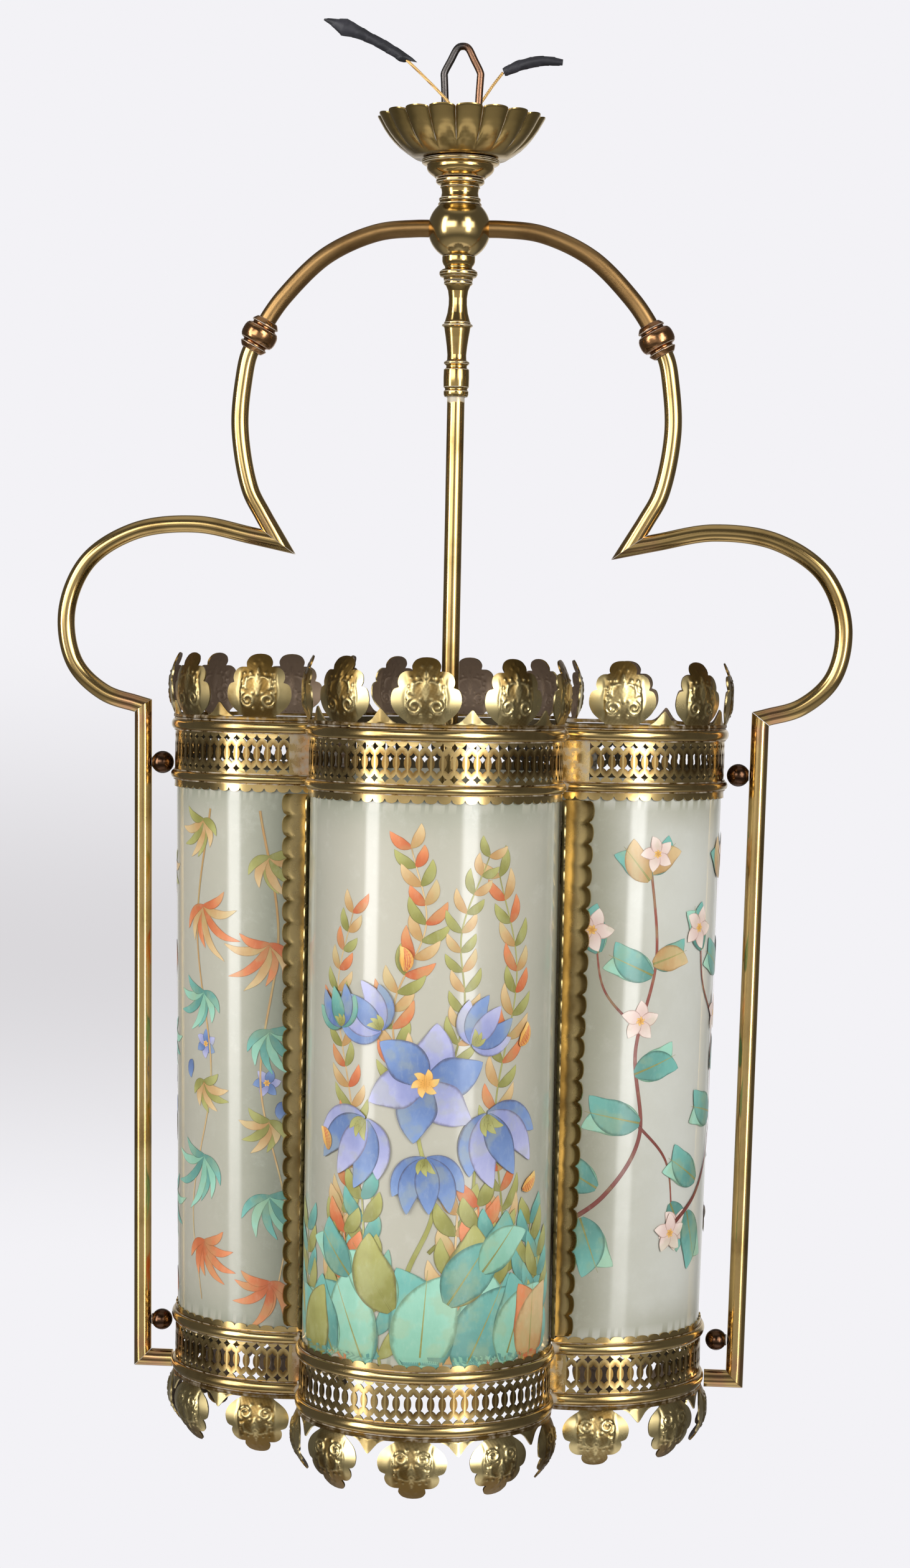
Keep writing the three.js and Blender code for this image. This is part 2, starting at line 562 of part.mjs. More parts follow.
function knuckle(centre, along) {
  const bore = TUBE_R + 2 * SEAT;
  const half = [[KNUCKLE_END_R, KNUCKLE_HALF_L], [KNUCKLE_END_R, 0.62 * KNUCKLE_HALF_L],
    [KNUCKLE_END_R - 1.2, 0.48 * KNUCKLE_HALF_L], [KNUCKLE_RING_R - 0.9, 0.3 * KNUCKLE_HALF_L]];
  const other = half.map(([r, z]) => [r, -z]).reverse();
  const profile = [[bore, KNUCKLE_HALF_L], ...half, [KNUCKLE_RING_R, 0], ...other, [bore, -KNUCKLE_HALF_L]];
  const geometry = turned(profile, 10);
  geometry.applyQuaternion(new THREE.Quaternion().setFromUnitVectors(new THREE.Vector3(0, 0, 1), along));
  return geometry.translate(centre.x, centre.y, centre.z);
}

function frame() {
  const pieces = armPieces();
  const tints = { upper_arm: DARK_BRASS, arm_knuckle: DARK_BRASS };
  for (const [name, geometry] of Object.entries(pieces)) {
    add(`${name}_right`, geometry, tints[name] ?? BRASS);
    add(`${name}_left`, geometry, tints[name] ?? BRASS, Math.PI);
  }
}

// Spacer balls, each on a neck from the side tube to the gallery sheet
function spacer(radius, z, bandX) {
  const share = (ELBOW_Z - z) / (ELBOW_Z - FOOT_Z);
  const tubeX = THREE.MathUtils.lerp(ELBOW_X, FOOT_X, share) - TUBE_R - SEAT;
  const ballX = bandX + SEAT + radius;
  const meets = Math.sqrt(radius * radius - SPACER_NECK_R * SPACER_NECK_R);
  const profile = [[0, ballX - radius]];
  for (let angle = 150; angle > 30; angle -= 30) {
    profile.push([radius * Math.sin(angle * DEG), ballX + radius * Math.cos(angle * DEG)]);
  }
  profile.push([SPACER_NECK_R, ballX + meets], [SPACER_NECK_R, tubeX], [0, tubeX]);
  return turned(profile, 10).rotateY(Math.PI / 2).translate(0, 0, z);
}

function spacers() {
  const topOut = LOBE_C_TOP + SHEET_R + TOP_SPACER_OUT;
  const footOut = LOBE_C_FOOT + SHEET_R + FOOT_SPACER_OUT;
  const top = spacer(TOP_SPACER_R, TOP_LOW_BEAD_Z[1] + TOP_SPACER_RISE, topOut);
  const foot = spacer(FOOT_SPACER_R, FOOT_BEAD_Z[0] - FOOT_SPACER_DROP, footOut);
  for (const [side, turn] of [["right", 0], ["left", Math.PI]]) {
    add(`upper_spacer_${side}`, top, BROWN_BRASS, turn);
    add(`lower_spacer_${side}`, foot, BROWN_BRASS, turn);
  }
}

// Bead round the whole quatrefoil
function bead(c, [z0, z1]) {
  const innerR = SHEET_R + SEAT;
  return prism(ringShape(quatrefoil(c, innerR + BEAD_T), quatrefoil(c, innerR)), z0, z1);
}

// Pierced sheet of one lobe, with spindle slots between slotZ0 and slotZ1
function gallerySheet(c, z0, z1, slotZ0, slotZ1, ledgeTop) {
  const end = endAngle(c, SHEET_R, SEAT / 2);
  const sheet = prism(new THREE.Shape(lobeBand(c, SHEET_R, SHEET_R - SHEET_T, end)), z0, z1);
  const middle = (slotZ0 + slotZ1) / 2;
  const halfH = (slotZ1 - slotZ0) / 2;
  const spindle = new THREE.Shape([[0, -halfH], [SLOT_W / 2, 0], [0, halfH], [-SLOT_W / 2, 0]]
    .map(([x, y]) => new THREE.Vector2(x, y)));
  const facetW = 2 * SHEET_R * Math.sin((LOBE_STEP / 2) * DEG);
  const slots = [];
  for (let facet = -90 + PLAIN_FACETS * LOBE_STEP; facet < 90 - PLAIN_FACETS * LOBE_STEP; facet += LOBE_STEP) {
    for (let k = 0; k < SLOTS_PER_FACET; k += 1) {
      const across = facetW * ((k + 0.5) / SLOTS_PER_FACET - 0.5);
      slots.push(outward(new THREE.ExtrudeGeometry(spindle, { depth: 8, bevelEnabled: false }))
        .translate(SHEET_R - 5, across, middle)
        .rotateZ((facet + LOBE_STEP / 2) * DEG)
        .translate(c, 0, 0));
    }
  }
  const pierced = without(sheet, slots);
  if (ledgeTop === undefined) return pierced;
  const facetR = SHEET_R * Math.cos((LOBE_STEP / 2) * DEG);
  const ledges = LEDGE_FACETS.map((facet) => {
    const reach = SHEET_T + SEAT + GLASS_T / 2;
    return new THREE.BoxGeometry(reach, GLASS_LEDGE_W, GLASS_LEDGE_H)
      .translate(facetR - SHEET_T / 2 - reach / 2, 0, ledgeTop - GLASS_LEDGE_H / 2)
      .rotateZ((facet + 0.5) * LOBE_STEP * DEG)
      .translate(c, 0, 0);
  });
  return joined([pierced, ...ledges]);
}

// Turns a shape drawn in (across, up) and extruded in depth so that its depth runs along +X.
function outward(geometry) {
  return geometry.rotateX(Math.PI / 2).rotateZ(Math.PI / 2);
}

// One leaf, its foot at the origin: a bellied plate cut to the leaf's outline
function leaf(height, tipIn) {
  const front = [[0, -STRIP_H / 2], [LEAF_BELLY, 0.42 * height], [-tipIn, height + 1]];
  const back = front.map(([x, z]) => [x - LEAF_T, z]).reverse();
  const plate = new THREE.Shape([...front, ...back].map(([x, z]) => new THREE.Vector2(x, z)));
  const width = 2.4 * LEAF_HALF_W;
  const bellied = new THREE.ExtrudeGeometry(plate, { depth: width, bevelEnabled: false })
    .rotateX(Math.PI / 2).translate(0, width / 2, 0);
  const half = [[LEAF_FOOT_HALF_W, -STRIP_H / 4], [LEAF_FOOT_HALF_W, 0],
    ...LEAF_HALF_OUTLINE.map(([across, up]) => [across * LEAF_HALF_W, up * height])];
  const right = half.map(([y, z]) => new THREE.Vector2(y, z));
  const left = half.map(([y, z]) => new THREE.Vector2(-y, z)).reverse();
  const outline = new THREE.Shape([...right, new THREE.Vector2(0, height), ...left]);
  const stamp = outward(new THREE.ExtrudeGeometry(outline, { depth: height, bevelEnabled: false }))
    .translate(-height / 2, 0, 0);
  return common(bellied, stamp);
}

function tooth() {
  const outline = [[-TOOTH_W / 2, -STRIP_H / 2], [TOOTH_W / 2, -STRIP_H / 2], [0, TOOTH_H]];
  const shape = new THREE.Shape(outline.map(([y, z]) => new THREE.Vector2(y, z)));
  return outward(new THREE.ExtrudeGeometry(shape, { depth: LEAF_T, bevelEnabled: false }))
    .translate(-LEAF_T, 0, 0);
}

// Leaf border round the whole cage, rising from z = 0
function leafBorder(c, height, tipIn) {
  const strip = prism(ringShape(quatrefoil(c, STRIP_R), quatrefoil(c, STRIP_R - STRIP_T)), 0, STRIP_H);
  const blade = leaf(height, tipIn);
  const spike = tooth();
  const place = (piece, angle, lobe) => piece.clone().translate(STRIP_R - STRIP_T / 2, 0, 0.8 * STRIP_H)
    .rotateZ(angle * DEG).translate(c, 0, 0).rotateZ(lobe * 90 * DEG);
  const pieces = [0, 1, 2, 3].flatMap((lobe) => [...LEAF_ANGLES.map((a) => place(blade, a, lobe)),
    ...TOOTH_ANGLES.map((a) => place(spike, a, lobe))]);
  return joined([strip, ...pieces]);
}

function borders() {
  const crest = leafBorder(LOBE_C_TOP, CREST_LEAF_H, CREST_TIP_IN).translate(0, 0, TOP_BEAD_Z[1] + SEAT);
  add("leaf_crest", crest, BRASS);
  const fringe = leafBorder(LOBE_C_FOOT, FRINGE_LEAF_H, FRINGE_TIP_IN).rotateX(Math.PI)
    .translate(0, 0, FOOT_LOW_BEAD_Z[0] - SEAT);
  add("leaf_fringe", fringe, BRASS);
}

const LOBES = { right: 0, back: 1, left: 2, front: 3 };

// Corner post: a V strip outside the glass, in the frame of one lobe with its corner on the diagonal x = y
function postOutline(z) {
  const c = cageCentre(z);
  const leg = (r) => {
    const corner = lobePoint(c, r, endAngle(c, r, 0));
    const knee = lobePoint(c, r, PANEL_END);
    return [knee.clone().lerp(lobePoint(c, r, 90), POST_LEG_SHARE), knee, corner];
  };
  const inner = leg(GLASS_R + SEAT);
  const outer = leg(GLASS_R + SEAT + POST_T).reverse();
  return [...inner, ...acrossDiagonal(inner.slice(0, 2)), ...acrossDiagonal(outer.slice(1)), ...outer];
}

// The same points on the other side of the diagonal, in reverse order
function acrossDiagonal(points) {
  return points.map((p) => new THREE.Vector2(p.y, p.x)).reverse();
}

// Clip behind the glass edges: two short legs and a nose soldered to the post
function clipOutline(z) {
  const c = cageCentre(z);
  const r = GLASS_R - GLASS_T - SEAT;
  const along = (radius, share) => lobePoint(c, radius, 90).lerp(lobePoint(c, radius, PANEL_END), share);
  const noseR = GLASS_R + SEAT + POST_T / 2;
  const tip = lobePoint(c, noseR, endAngle(c, noseR, 0));
  const root = tip.clone().setLength(tip.length() - 2.6 * CLIP_T);
  const outer = [along(r, 1 - CLIP_LEG_SHARE), along(r, 1.03)];
  const inner = [along(r - CLIP_T, 1.07), along(r - CLIP_T, 1 - CLIP_LEG_SHARE)];
  return [...outer, tip, ...acrossDiagonal(outer), ...acrossDiagonal(inner), root, ...inner];
}

function glassOutline(z) {
  return lobeBand(cageCentre(z), GLASS_R, GLASS_R - GLASS_T, PANEL_END);
}

function cage() {
  const topSlots = [TOP_LOW_BEAD_Z[1] + SLOT_MARGIN, TOP_BEAD_Z[0] - SLOT_MARGIN];
  const footSlots = [FOOT_LOW_BEAD_Z[1] + SLOT_MARGIN, FOOT_BEAD_Z[0] - SLOT_MARGIN];
  const upper = gallerySheet(LOBE_C_TOP, APRON_Z, TOP_BEAD_Z[1], ...topSlots);
  const lower = gallerySheet(LOBE_C_FOOT, FOOT_LOW_BEAD_Z[0], RIM_Z, ...footSlots, GLASS_FOOT_Z - SEAT);
  const glass = loft(glassOutline, GLASS_FOOT_Z, GLASS_TOP_Z);
  const footSpans = FOOT_CLIPS.map(([low, high]) => [RIM_Z + low, RIM_Z + high]);
  const spans = [[APRON_Z - TOP_CLIP[1], APRON_Z - TOP_CLIP[0]], ...footSpans];
  const clips = spans.map(([z0, z1]) => loft(clipOutline, z0, z1));
  const post = joined([loft(postOutline, RIM_Z + SEAT, APRON_Z - SEAT), ...clips]);
  for (const [name, quarter] of Object.entries(LOBES)) {
    const turn = (quarter * Math.PI) / 2;
    add(`upper_gallery_${name}`, upper, BRASS, turn);
    add(`lower_gallery_${name}`, lower, BRASS, turn);
    add(`glass_panel_${name}`, glass, GLASS, turn);
  }
  const corners = { back_right: 0, back_left: 1, front_left: 2, front_right: 3 };
  for (const [name, quarter] of Object.entries(corners)) {
    add(`corner_post_${name}`, post, BRASS, (quarter * Math.PI) / 2);
  }
  add("upper_bead_top", bead(LOBE_C_TOP, TOP_BEAD_Z), BRASS);
  add("upper_bead_low", bead(LOBE_C_TOP, TOP_LOW_BEAD_Z), BRASS);
  add("lower_bead_top", bead(LOBE_C_FOOT, FOOT_BEAD_Z), BRASS);
  add("lower_bead_low", bead(LOBE_C_FOOT, FOOT_LOW_BEAD_Z), BRASS);
}

// Lampholder, built from the centre tube's foot downwards
function lampholder() {
  const grip = TUBE_R + SEAT;
  const gripTop = CENTRE_TUBE_FOOT_Z + HOLDER_GRIP;
  const seat = CENTRE_TUBE_FOOT_Z - SEAT;
  const foot = HOLDER_CAP_FOOT_Z;
  const mouth = SHELL_R - SHELL_WALL + 0.5;
  add("holder_cap", turned([[grip, gripTop], [grip + 1.8, gripTop], [grip + 1.8, seat - 1.7], [10, seat - 4.7],
    [HOLDER_CAP_R - 0.3, foot + 8], [HOLDER_CAP_R, foot], [mouth, foot], [mouth, foot + 6],
    [LEAD_BORE_R, seat - 4], [LEAD_BORE_R, seat], [grip, seat]], 14), BRASS);

  const shellTop = foot - SEAT;
  const shellFoot = shellTop - SHELL_L;
  const inner = SHELL_R - SHELL_WALL;
  const bulbTop = INSERT_TOP_Z - INSERT_H - PLUNGER_OUT - SEAT;
  const pinZ = bulbTop - BULB_PIN_DROP;
  const wall = turned([[inner, shellTop], [SHELL_R, shellTop], [SHELL_R, shellFoot], [inner, shellFoot]], 18);
  add("holder_shell", without(wall, bayonetSlots(pinZ, shellFoot)), BRASS);

  const ringTop = shellTop - RING_DROP;
  const hole = SHELL_R + SEAT;
  add("holder_ring", turned([[hole, ringTop], [hole + 2, ringTop], [RING_R, ringTop - RING_H + 1.5],
    [RING_R, ringTop - RING_H], [hole, ringTop - RING_H]], 16), BRASS);

  const disc = inner - SEAT;
  const body = prism(new THREE.Shape(polygon(disc, 16)), INSERT_TOP_Z - INSERT_H, INSERT_TOP_Z);
  const round = (r, z0, z1, sides) => prism(new THREE.Shape(polygon(r, sides)), z0, z1);
  const bore = round(PLUNGER_R + RUNNING, INSERT_TOP_Z - 2 * INSERT_H, INSERT_TOP_Z + INSERT_H, 10);
  const bores = [PLUNGER_X, -PLUNGER_X].map((x) => bore.clone().translate(x, 0, 0));
  add("holder_insert", without(body, bores), CERAMIC);
  const plungerFoot = bulbTop + SEAT;
  for (const [side, x] of [["right", PLUNGER_X], ["left", -PLUNGER_X]]) {
    const plunger = round(PLUNGER_R, plungerFoot, plungerFoot + PLUNGER_L, 10);
    add(`contact_plunger_${side}`, plunger.translate(x, 0, 0), BRASS);
  }
  bulb(bulbTop, pinZ);
}

// Two slots, opposite each other: an entry from the foot and a turn of BULB_TWIST to the lock
function bayonetSlots(pinZ, shellFoot) {
  const half = BULB_PIN_R + SLOT_CLEAR;
  const tools = [];
  const margin = half / SHELL_R / DEG;
  for (const side of [90, -90]) {
    const sector = [];
    for (let i = 0; i <= 4; i += 1) {
      const angle = side + THREE.MathUtils.lerp(-BULB_TWIST - margin, margin, i / 4);
      sector.push(new THREE.Vector2(20 * Math.cos(angle * DEG), 20 * Math.sin(angle * DEG)));
    }
    tools.push(prism(new THREE.Shape([new THREE.Vector2(0, 0), ...sector]), pinZ - half, pinZ + half));
    const height = pinZ - shellFoot + 2;
    tools.push(new THREE.BoxGeometry(12, 2 * half, height)
      .translate(SHELL_R, 0, shellFoot - 2 + height / 2)
      .rotateZ((side - BULB_TWIST) * DEG));
  }
  return tools;
}

function bulb(top, pinZ) {
  const foot = top - BULB_CAP_L;
  const inner = BULB_CAP_R - BULB_CAP_WALL;
  const cupInside = top - BULB_CAP_TOP_T;
  const cup = turned([[0, top], [BULB_CAP_R, top], [BULB_CAP_R, foot], [inner, foot], [inner, cupInside],
    [0, cupInside]], 14);
  const pin = (side) => turned([[0, inner - 1], [BULB_PIN_R, inner - 1], [BULB_PIN_R, BULB_PIN_REACH],
    [0, BULB_PIN_REACH]], 8).rotateX(-side * Math.PI / 2).translate(0, 0, pinZ);
  add("bulb_cap", joined([cup, pin(1), pin(-1)]), BRASS);

  const neckR = inner - SEAT;
  const neckTop = foot + BULB_NECK_IN;
  const centre = foot - BULB_L + BULB_R;
  const outer = [[neckR, neckTop], [neckR, foot - 2], [neckR + 5, foot - 14], [0.87 * BULB_R, centre + 15],
    [BULB_R, centre], [0.8 * BULB_R, centre - 0.6 * BULB_R], [0.42 * BULB_R, centre - 0.91 * BULB_R]];
  const inside = outer.map(([r, z]) => [r - BULB_WALL, z]);
  add("bulb_glass", turned([...outer, [0, centre - BULB_R], [0, centre - BULB_R + BULB_WALL],
    ...inside.reverse()], 12), GLASS);
}

// Leads: straight inside nipple and tube, then out past the loop to the taped ends
function leads({ nippleTop }) {
  const section = (r) => new THREE.Shape(polygon(r, LEAD_SIDES));
  const point = ([x, y, z]) => new THREE.Vector3(x, y, z);
  const lead = (points, y, steps) => {
    const mouth = point([0, y, nippleTop]);
    const inside = new THREE.LineCurve3(point([0, y, INSERT_TOP_Z + 2]), mouth);
    const below = mouth.clone().setZ(nippleTop - LEAD_R);
    const route = new THREE.CatmullRomCurve3([below, mouth, ...points.map(point)]);
    return joined([sweep(section(LEAD_R), inside, 1), sweep(section(LEAD_R), route, steps)]);
  };
  const sleeve = (points) => {
    const path = new THREE.CatmullRomCurve3(points.map(point));
    const start = path.getTangent(0).multiplyScalar(SEAT);
    return sweep(section(SLEEVE_R), path, 6).translate(start.x, start.y, start.z);
  };
  add("lead_left", lead(LEFT_LEAD, -LEAD_Y, 18), LEAD);
  add("lead_right", lead(RIGHT_LEAD, LEAD_Y, 15), LEAD);
  add("tape_sleeve_left", sleeve(LEFT_SLEEVE), TAPE);
  add("tape_sleeve_right", sleeve(RIGHT_SLEEVE), TAPE);
}

centralColumn();
const hang = hanging();
frame();
spacers();
cage();
borders();
lampholder();
leads(hang);
lantern.position.z = -hang.seatZ;

export default lantern;
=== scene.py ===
"""Hall lantern: brass arms, pierced galleries and painted glass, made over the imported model."""

import math
import random

import bmesh
import bpy
from mathutils import Matrix, Vector, geometry, noise


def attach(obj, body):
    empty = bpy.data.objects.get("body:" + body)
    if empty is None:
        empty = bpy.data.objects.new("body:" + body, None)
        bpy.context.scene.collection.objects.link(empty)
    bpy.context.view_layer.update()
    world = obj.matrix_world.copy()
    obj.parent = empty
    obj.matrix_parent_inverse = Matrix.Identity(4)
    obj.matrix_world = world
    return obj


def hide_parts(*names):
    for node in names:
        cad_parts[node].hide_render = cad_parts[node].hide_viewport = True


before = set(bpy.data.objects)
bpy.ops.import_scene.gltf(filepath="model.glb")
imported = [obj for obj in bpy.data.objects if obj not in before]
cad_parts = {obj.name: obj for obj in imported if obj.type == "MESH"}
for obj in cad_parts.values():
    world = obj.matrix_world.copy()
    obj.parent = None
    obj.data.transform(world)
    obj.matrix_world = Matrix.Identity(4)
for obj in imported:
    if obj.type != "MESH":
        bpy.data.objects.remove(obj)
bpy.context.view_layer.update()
scene = bpy.context.scene
scene.view_settings.view_transform = "Standard"
chance = random.Random(7)

# Lengths are in millimetres, with the drawing's zero at the top of the upper gallery.
DATUM = 364.551
SEAT = 0.3
TUBE_R = 4.75
TUBE_SIDES = 32
BALL_Z = 268.5
BALL_R = 17
SHEET_R = 65.8
SHEET_T = 0.8
APRON_Z = -36.1
RIM_Z = -319.0
LOWER_FOOT_Z = -355.5
WRAP_TOP = 109.34
WRAP_FOOT = 102.4
PANEL_END = 98
GLASS_R = 64.6
SIDE_GAP = 14.2
GLASS_T = 2.6
LOBES = ("right", "back", "left", "front")


def at(x, y, z):
    """A point of the drawing in the model's frame, in metres."""
    return Vector((x / 1000, y / 1000, (z - DATUM) / 1000))


def sin(angle):
    return math.sin(math.radians(angle))


def cos(angle):
    return math.cos(math.radians(angle))


def lerp(a, b, share):
    return a + (b - a) * share


def clamp(value, low=0.0, high=1.0):
    return max(low, min(high, value))


CENTRE_TOP = math.sqrt(2) * SHEET_R * sin(WRAP_TOP - 45)
CENTRE_FOOT = math.sqrt(2) * SHEET_R * sin(WRAP_FOOT - 45)


def centre_at(z):
    """Distance of each lobe's own centre from the lantern's axis at a height."""
    return lerp(CENTRE_TOP, CENTRE_FOOT, clamp((APRON_Z - z) / (APRON_Z - RIM_Z)))


def end_angle(centre, radius):
    """Where a lobe meets its neighbour on the diagonal."""
    return 45 + math.degrees(math.asin(centre / (math.sqrt(2) * radius)))


def lobe_point(lobe, centre, radius, angle, z):
    x, y = centre + radius * cos(angle), radius * sin(angle)
    for _ in range(lobe):
        x, y = -y, x
    return Vector((x, y, z))


# Camera
camera = bpy.data.objects.new("camera", bpy.data.cameras.new("camera"))
scene.collection.objects.link(camera)
camera.data.sensor_width = 36
camera.data.angle = math.radians(28.907)
camera.data.dof.use_dof = False
view_right = Vector((0.99686924, 0.07641425, 0.0203123))
view_up = Vector((-0.02348722, 0.04088206, 0.99888789))
view_back = Vector((0.07549886, -0.99623768, 0.04254882))
turn = Matrix((view_right, view_up, view_back)).transposed().to_4x4()
camera.matrix_world = Matrix.Translation((0.12903, -1.65288, -0.32609)) @ turn
scene.camera = camera


class Tone:
    """One output of a finish's nodes. Sums on it add their Math nodes."""

    def __init__(self, finish, socket):
        self.finish = finish
        self.socket = socket

    def __add__(self, other):
        return self.finish.sum("ADD", self, other)

    def __radd__(self, other):
        return self.finish.sum("ADD", other, self)

    def __sub__(self, other):
        return self.finish.sum("SUBTRACT", self, other)

    def __rsub__(self, other):
        return self.finish.sum("SUBTRACT", other, self)

    def __mul__(self, other):
        return self.finish.sum("MULTIPLY", self, other)

    def __rmul__(self, other):
        return self.finish.sum("MULTIPLY", other, self)


class Finish:
    """A material, or the world, and the ways to add nodes to it."""

    def __init__(self, owner):
        owner.use_nodes = True
        self.owner = owner
        self.tree = owner.node_tree
        self.tree.nodes.clear()

    def node(self, kind, settings=None, sockets=None, out=0):
        """Adds one node: its settings first, then the values or links of its sockets."""
        made = self.tree.nodes.new("ShaderNode" + kind)
        for name, value in (settings or {}).items():
            setattr(made, name, value)
        for name, value in (sockets or {}).items():
            if isinstance(value, Tone):
                self.tree.links.new(value.socket, made.inputs[name])
            else:
                made.inputs[name].default_value = value
        return Tone(self, made.outputs[out])

    def sum(self, operation, a, b=0.0):
        return self.node("Math", {"operation": operation}, {0: a, 1: b})

    def ease(self, value, low, high):
        """0 below low and 1 above high, with a soft passage between."""
        return self.node("MapRange", {"interpolation_type": "SMOOTHSTEP"}, {0: value, 1: low, 2: high})

    def mix(self, a, b, share):
        """From colour a to colour b by a share."""
        def as_colour(value):
            return value if isinstance(value, Tone) else (*value, 1)

        return self.node("Mix", {"data_type": "RGBA"}, {0: share, 6: as_colour(a), 7: as_colour(b)}, 2)

    def place(self, stretch=(1, 1, 1)):
        """The surface's own place, in metres, pulled out or pressed along the axes."""
        here = self.node("TexCoord", out=3)
        if stretch == (1, 1, 1):
            return here
        return self.node("VectorMath", {"operation": "MULTIPLY"}, {0: here, 1: stretch})

    def clouds(self, grains_per_metre, detail=3.0, stretch=(1, 1, 1), roughness=0.5):
        return self.node("TexNoise", None, {"Vector": self.place(stretch), "Scale": grains_per_metre,
                                            "Detail": detail, "Roughness": roughness})

    def wear(self, channel):
        """One of the wears drawn on a form: 0 residue, 1 browning, 2 copper blush."""
        drawn = self.node("Attribute", {"attribute_name": "wear"})
        return self.node("SeparateColor", None, {0: drawn}, channel)

    def bump(self, height, depth, strength=0.5):
        """A normal from a height, its depth in millimetres."""
        return self.node("Bump", None, {"Height": height, "Distance": depth / 1000, "Strength": strength})

    def dot(self, way, x, y, z):
        """How far a direction leans the way of another."""
        return self.node("VectorMath", {"operation": "DOT_PRODUCT"}, {0: way, 1: (x, y, z)}, 1)

    def skin(self, colour, rough, normal, **fixed):
        """A surface from its colour, roughness and normal; more sockets are named with _ for a space."""
        more = {name.replace("_", " "): value for name, value in fixed.items()}
        sockets = {"Base Color": colour, "Roughness": rough, "Normal": normal, **more}
        return self.surface(self.node("BsdfPrincipled", None, sockets))

    def surface(self, shader):
        kind = "World" if isinstance(self.owner, bpy.types.World) else "Material"
        end = self.tree.nodes.new("ShaderNodeOutput" + kind)
        self.tree.links.new(shader.socket, end.inputs["Surface"])
        return self.owner


def shade(red, green, blue):
    """A colour as the eye reads it, 0 to 255, as the light that it stands for."""
    parts = [v / 255 for v in (red, green, blue)]
    return tuple(v / 12.92 if v < 0.0404 else ((v + 0.055) / 1.055) ** 2.4 for v in parts)


def new_finish(name):
    return Finish(bpy.data.materials.new(name))


def aged_brass(name, polish, brown, browning=0.5, gloss=0.16, turned=False, grain=0.006, metal=1.0):
    """Old polished brass: brown in clouds and hollows, blushed at the solder, pale dust in the crevices."""
    f = new_finish(name)
    broad = f.clouds(26, 4)
    small = f.clouds(210, 4, roughness=0.6)
    specks = f.clouds(800, 2)
    residue = f.ease(f.wear(0) * 1.2 + small * 0.9, 1.05, 1.4)
    bright = 0.75 - 0.5 * browning
    tarnish = f.ease(broad * 0.85 + small * 0.15 + f.wear(1) * 0.65, bright, 1.1 - 0.5 * browning)
    blush = f.ease(f.wear(2) + broad * 0.4, 0.45, 1.1)
    colour = f.mix(shade(*polish), shade(*brown), tarnish)
    colour = f.mix(colour, shade(196, 142, 112), blush * 0.65)
    colour = f.mix(colour, shade(72, 56, 36), f.ease(specks, 0.72, 0.8) * 0.25)
    colour = f.mix(colour, shade(176, 170, 158), residue * 0.85)
    rough = gloss + tarnish * 0.1 + small * 0.06 + residue * 0.4
    height = f.clouds(1400, 2) * 0.3 + small * 0.7
    if turned:
        height = height + f.clouds(40, 2, stretch=(1, 1, 40)) * 0.25
    return f.skin(colour, rough, f.bump(height, grain), Metallic=metal - residue * (0.8 * metal))


BRASS = aged_brass("aged_brass", (206, 178, 120), (126, 98, 54), 0.45, 0.13)
TURNED_BRASS = aged_brass("turned_brass", (198, 166, 104), (118, 90, 48), 0.5, 0.12, turned=True)
CUP_BRASS = aged_brass("spun_cup_brass", (188, 160, 100), (112, 88, 46), 0.5, 0.17)
TUBE_BRASS = aged_brass("tube_brass", (204, 172, 112), (134, 104, 58), 0.4, 0.12, grain=0.001)
ARM_BRASS = aged_brass("browned_arm_brass", (170, 134, 86), (122, 92, 56), 0.5, 0.32, grain=0.001)
KNUCKLE_BRASS = aged_brass("knuckle_brass", (176, 132, 84), (124, 86, 52), 0.55, 0.14, grain=0.002)
CAST_BRASS = aged_brass("leaf_brass", (220, 200, 144), (122, 96, 50), 0.38, 0.25, grain=0.012)
LEAF_BACK = aged_brass("leaf_back", (126, 106, 86), (92, 76, 62), 0.6, 0.42, grain=0.02, metal=0.35)
POST_BRASS = aged_brass("post_brass", (184, 162, 112), (118, 98, 60), 0.5, 0.22, grain=0.01)
BALL_BRASS = aged_brass("spacer_ball_brass", (136, 100, 72), (84, 60, 44), 0.6, 0.08, grain=0.001)
# The inner face of the gallery sheets: tarnished brass, made darker still by painted shade for the dark inside
# of the cage.
SHADED_INSIDE_BRASS = aged_brass("inside_brass_painted_shade", (70, 60, 40), (40, 34, 24), 0.6, 0.5, grain=0.02, metal=0.5)
INNER_BRASS = aged_brass("inner_brass", (128, 102, 62), (74, 56, 34), 0.6, 0.38, grain=0.012)


def steel():
    f = new_finish("loop_steel")
    broad = f.clouds(60, 4)
    fine = f.clouds(1400, 3)
    side = f.node("SeparateXYZ", None, {0: f.place()})
    rust = f.ease(side * 90 + broad * 1.4, 0.55, 1.2)
    colour = f.mix(shade(88, 84, 82), shade(134, 100, 78), rust)
    colour = f.mix(colour, shade(52, 42, 36), f.ease(fine, 0.56, 0.7) * 0.7)
    return f.skin(colour, 0.24 + broad * 0.2, f.bump(fine, 0.006), Metallic=1.0)


def frosted(name, tint, rim, edge=False):
    """Frosted glass, fired smooth on its face. It turns darker, to the rim colour, towards its edges, where
    the wear attribute's second channel grows; a cut edge shows green.
    """
    f = new_finish(name)
    cloud = f.clouds(14, 3)
    fine = f.clouds(900, 3)
    mottle = f.clouds(75, 5, roughness=0.7)
    colour = f.mix(tint, rim, f.ease(f.wear(1) + cloud * 0.45 + mottle * 0.3 - 0.1, 0.15, 1.1))
    colour = f.mix(colour, shade(206, 204, 192), f.ease(mottle, 0.5, 0.75) * 0.25)
    rough = (0.1 if edge else 0.4) + fine * 0.06
    return f.skin(colour, rough, f.bump(cloud * 0.6 + fine * 0.03, 0.12), IOR=1.5,
                  Transmission_Weight=0.5 if edge else 0.12, Coat_Weight=0.9, Coat_Roughness=0.05)


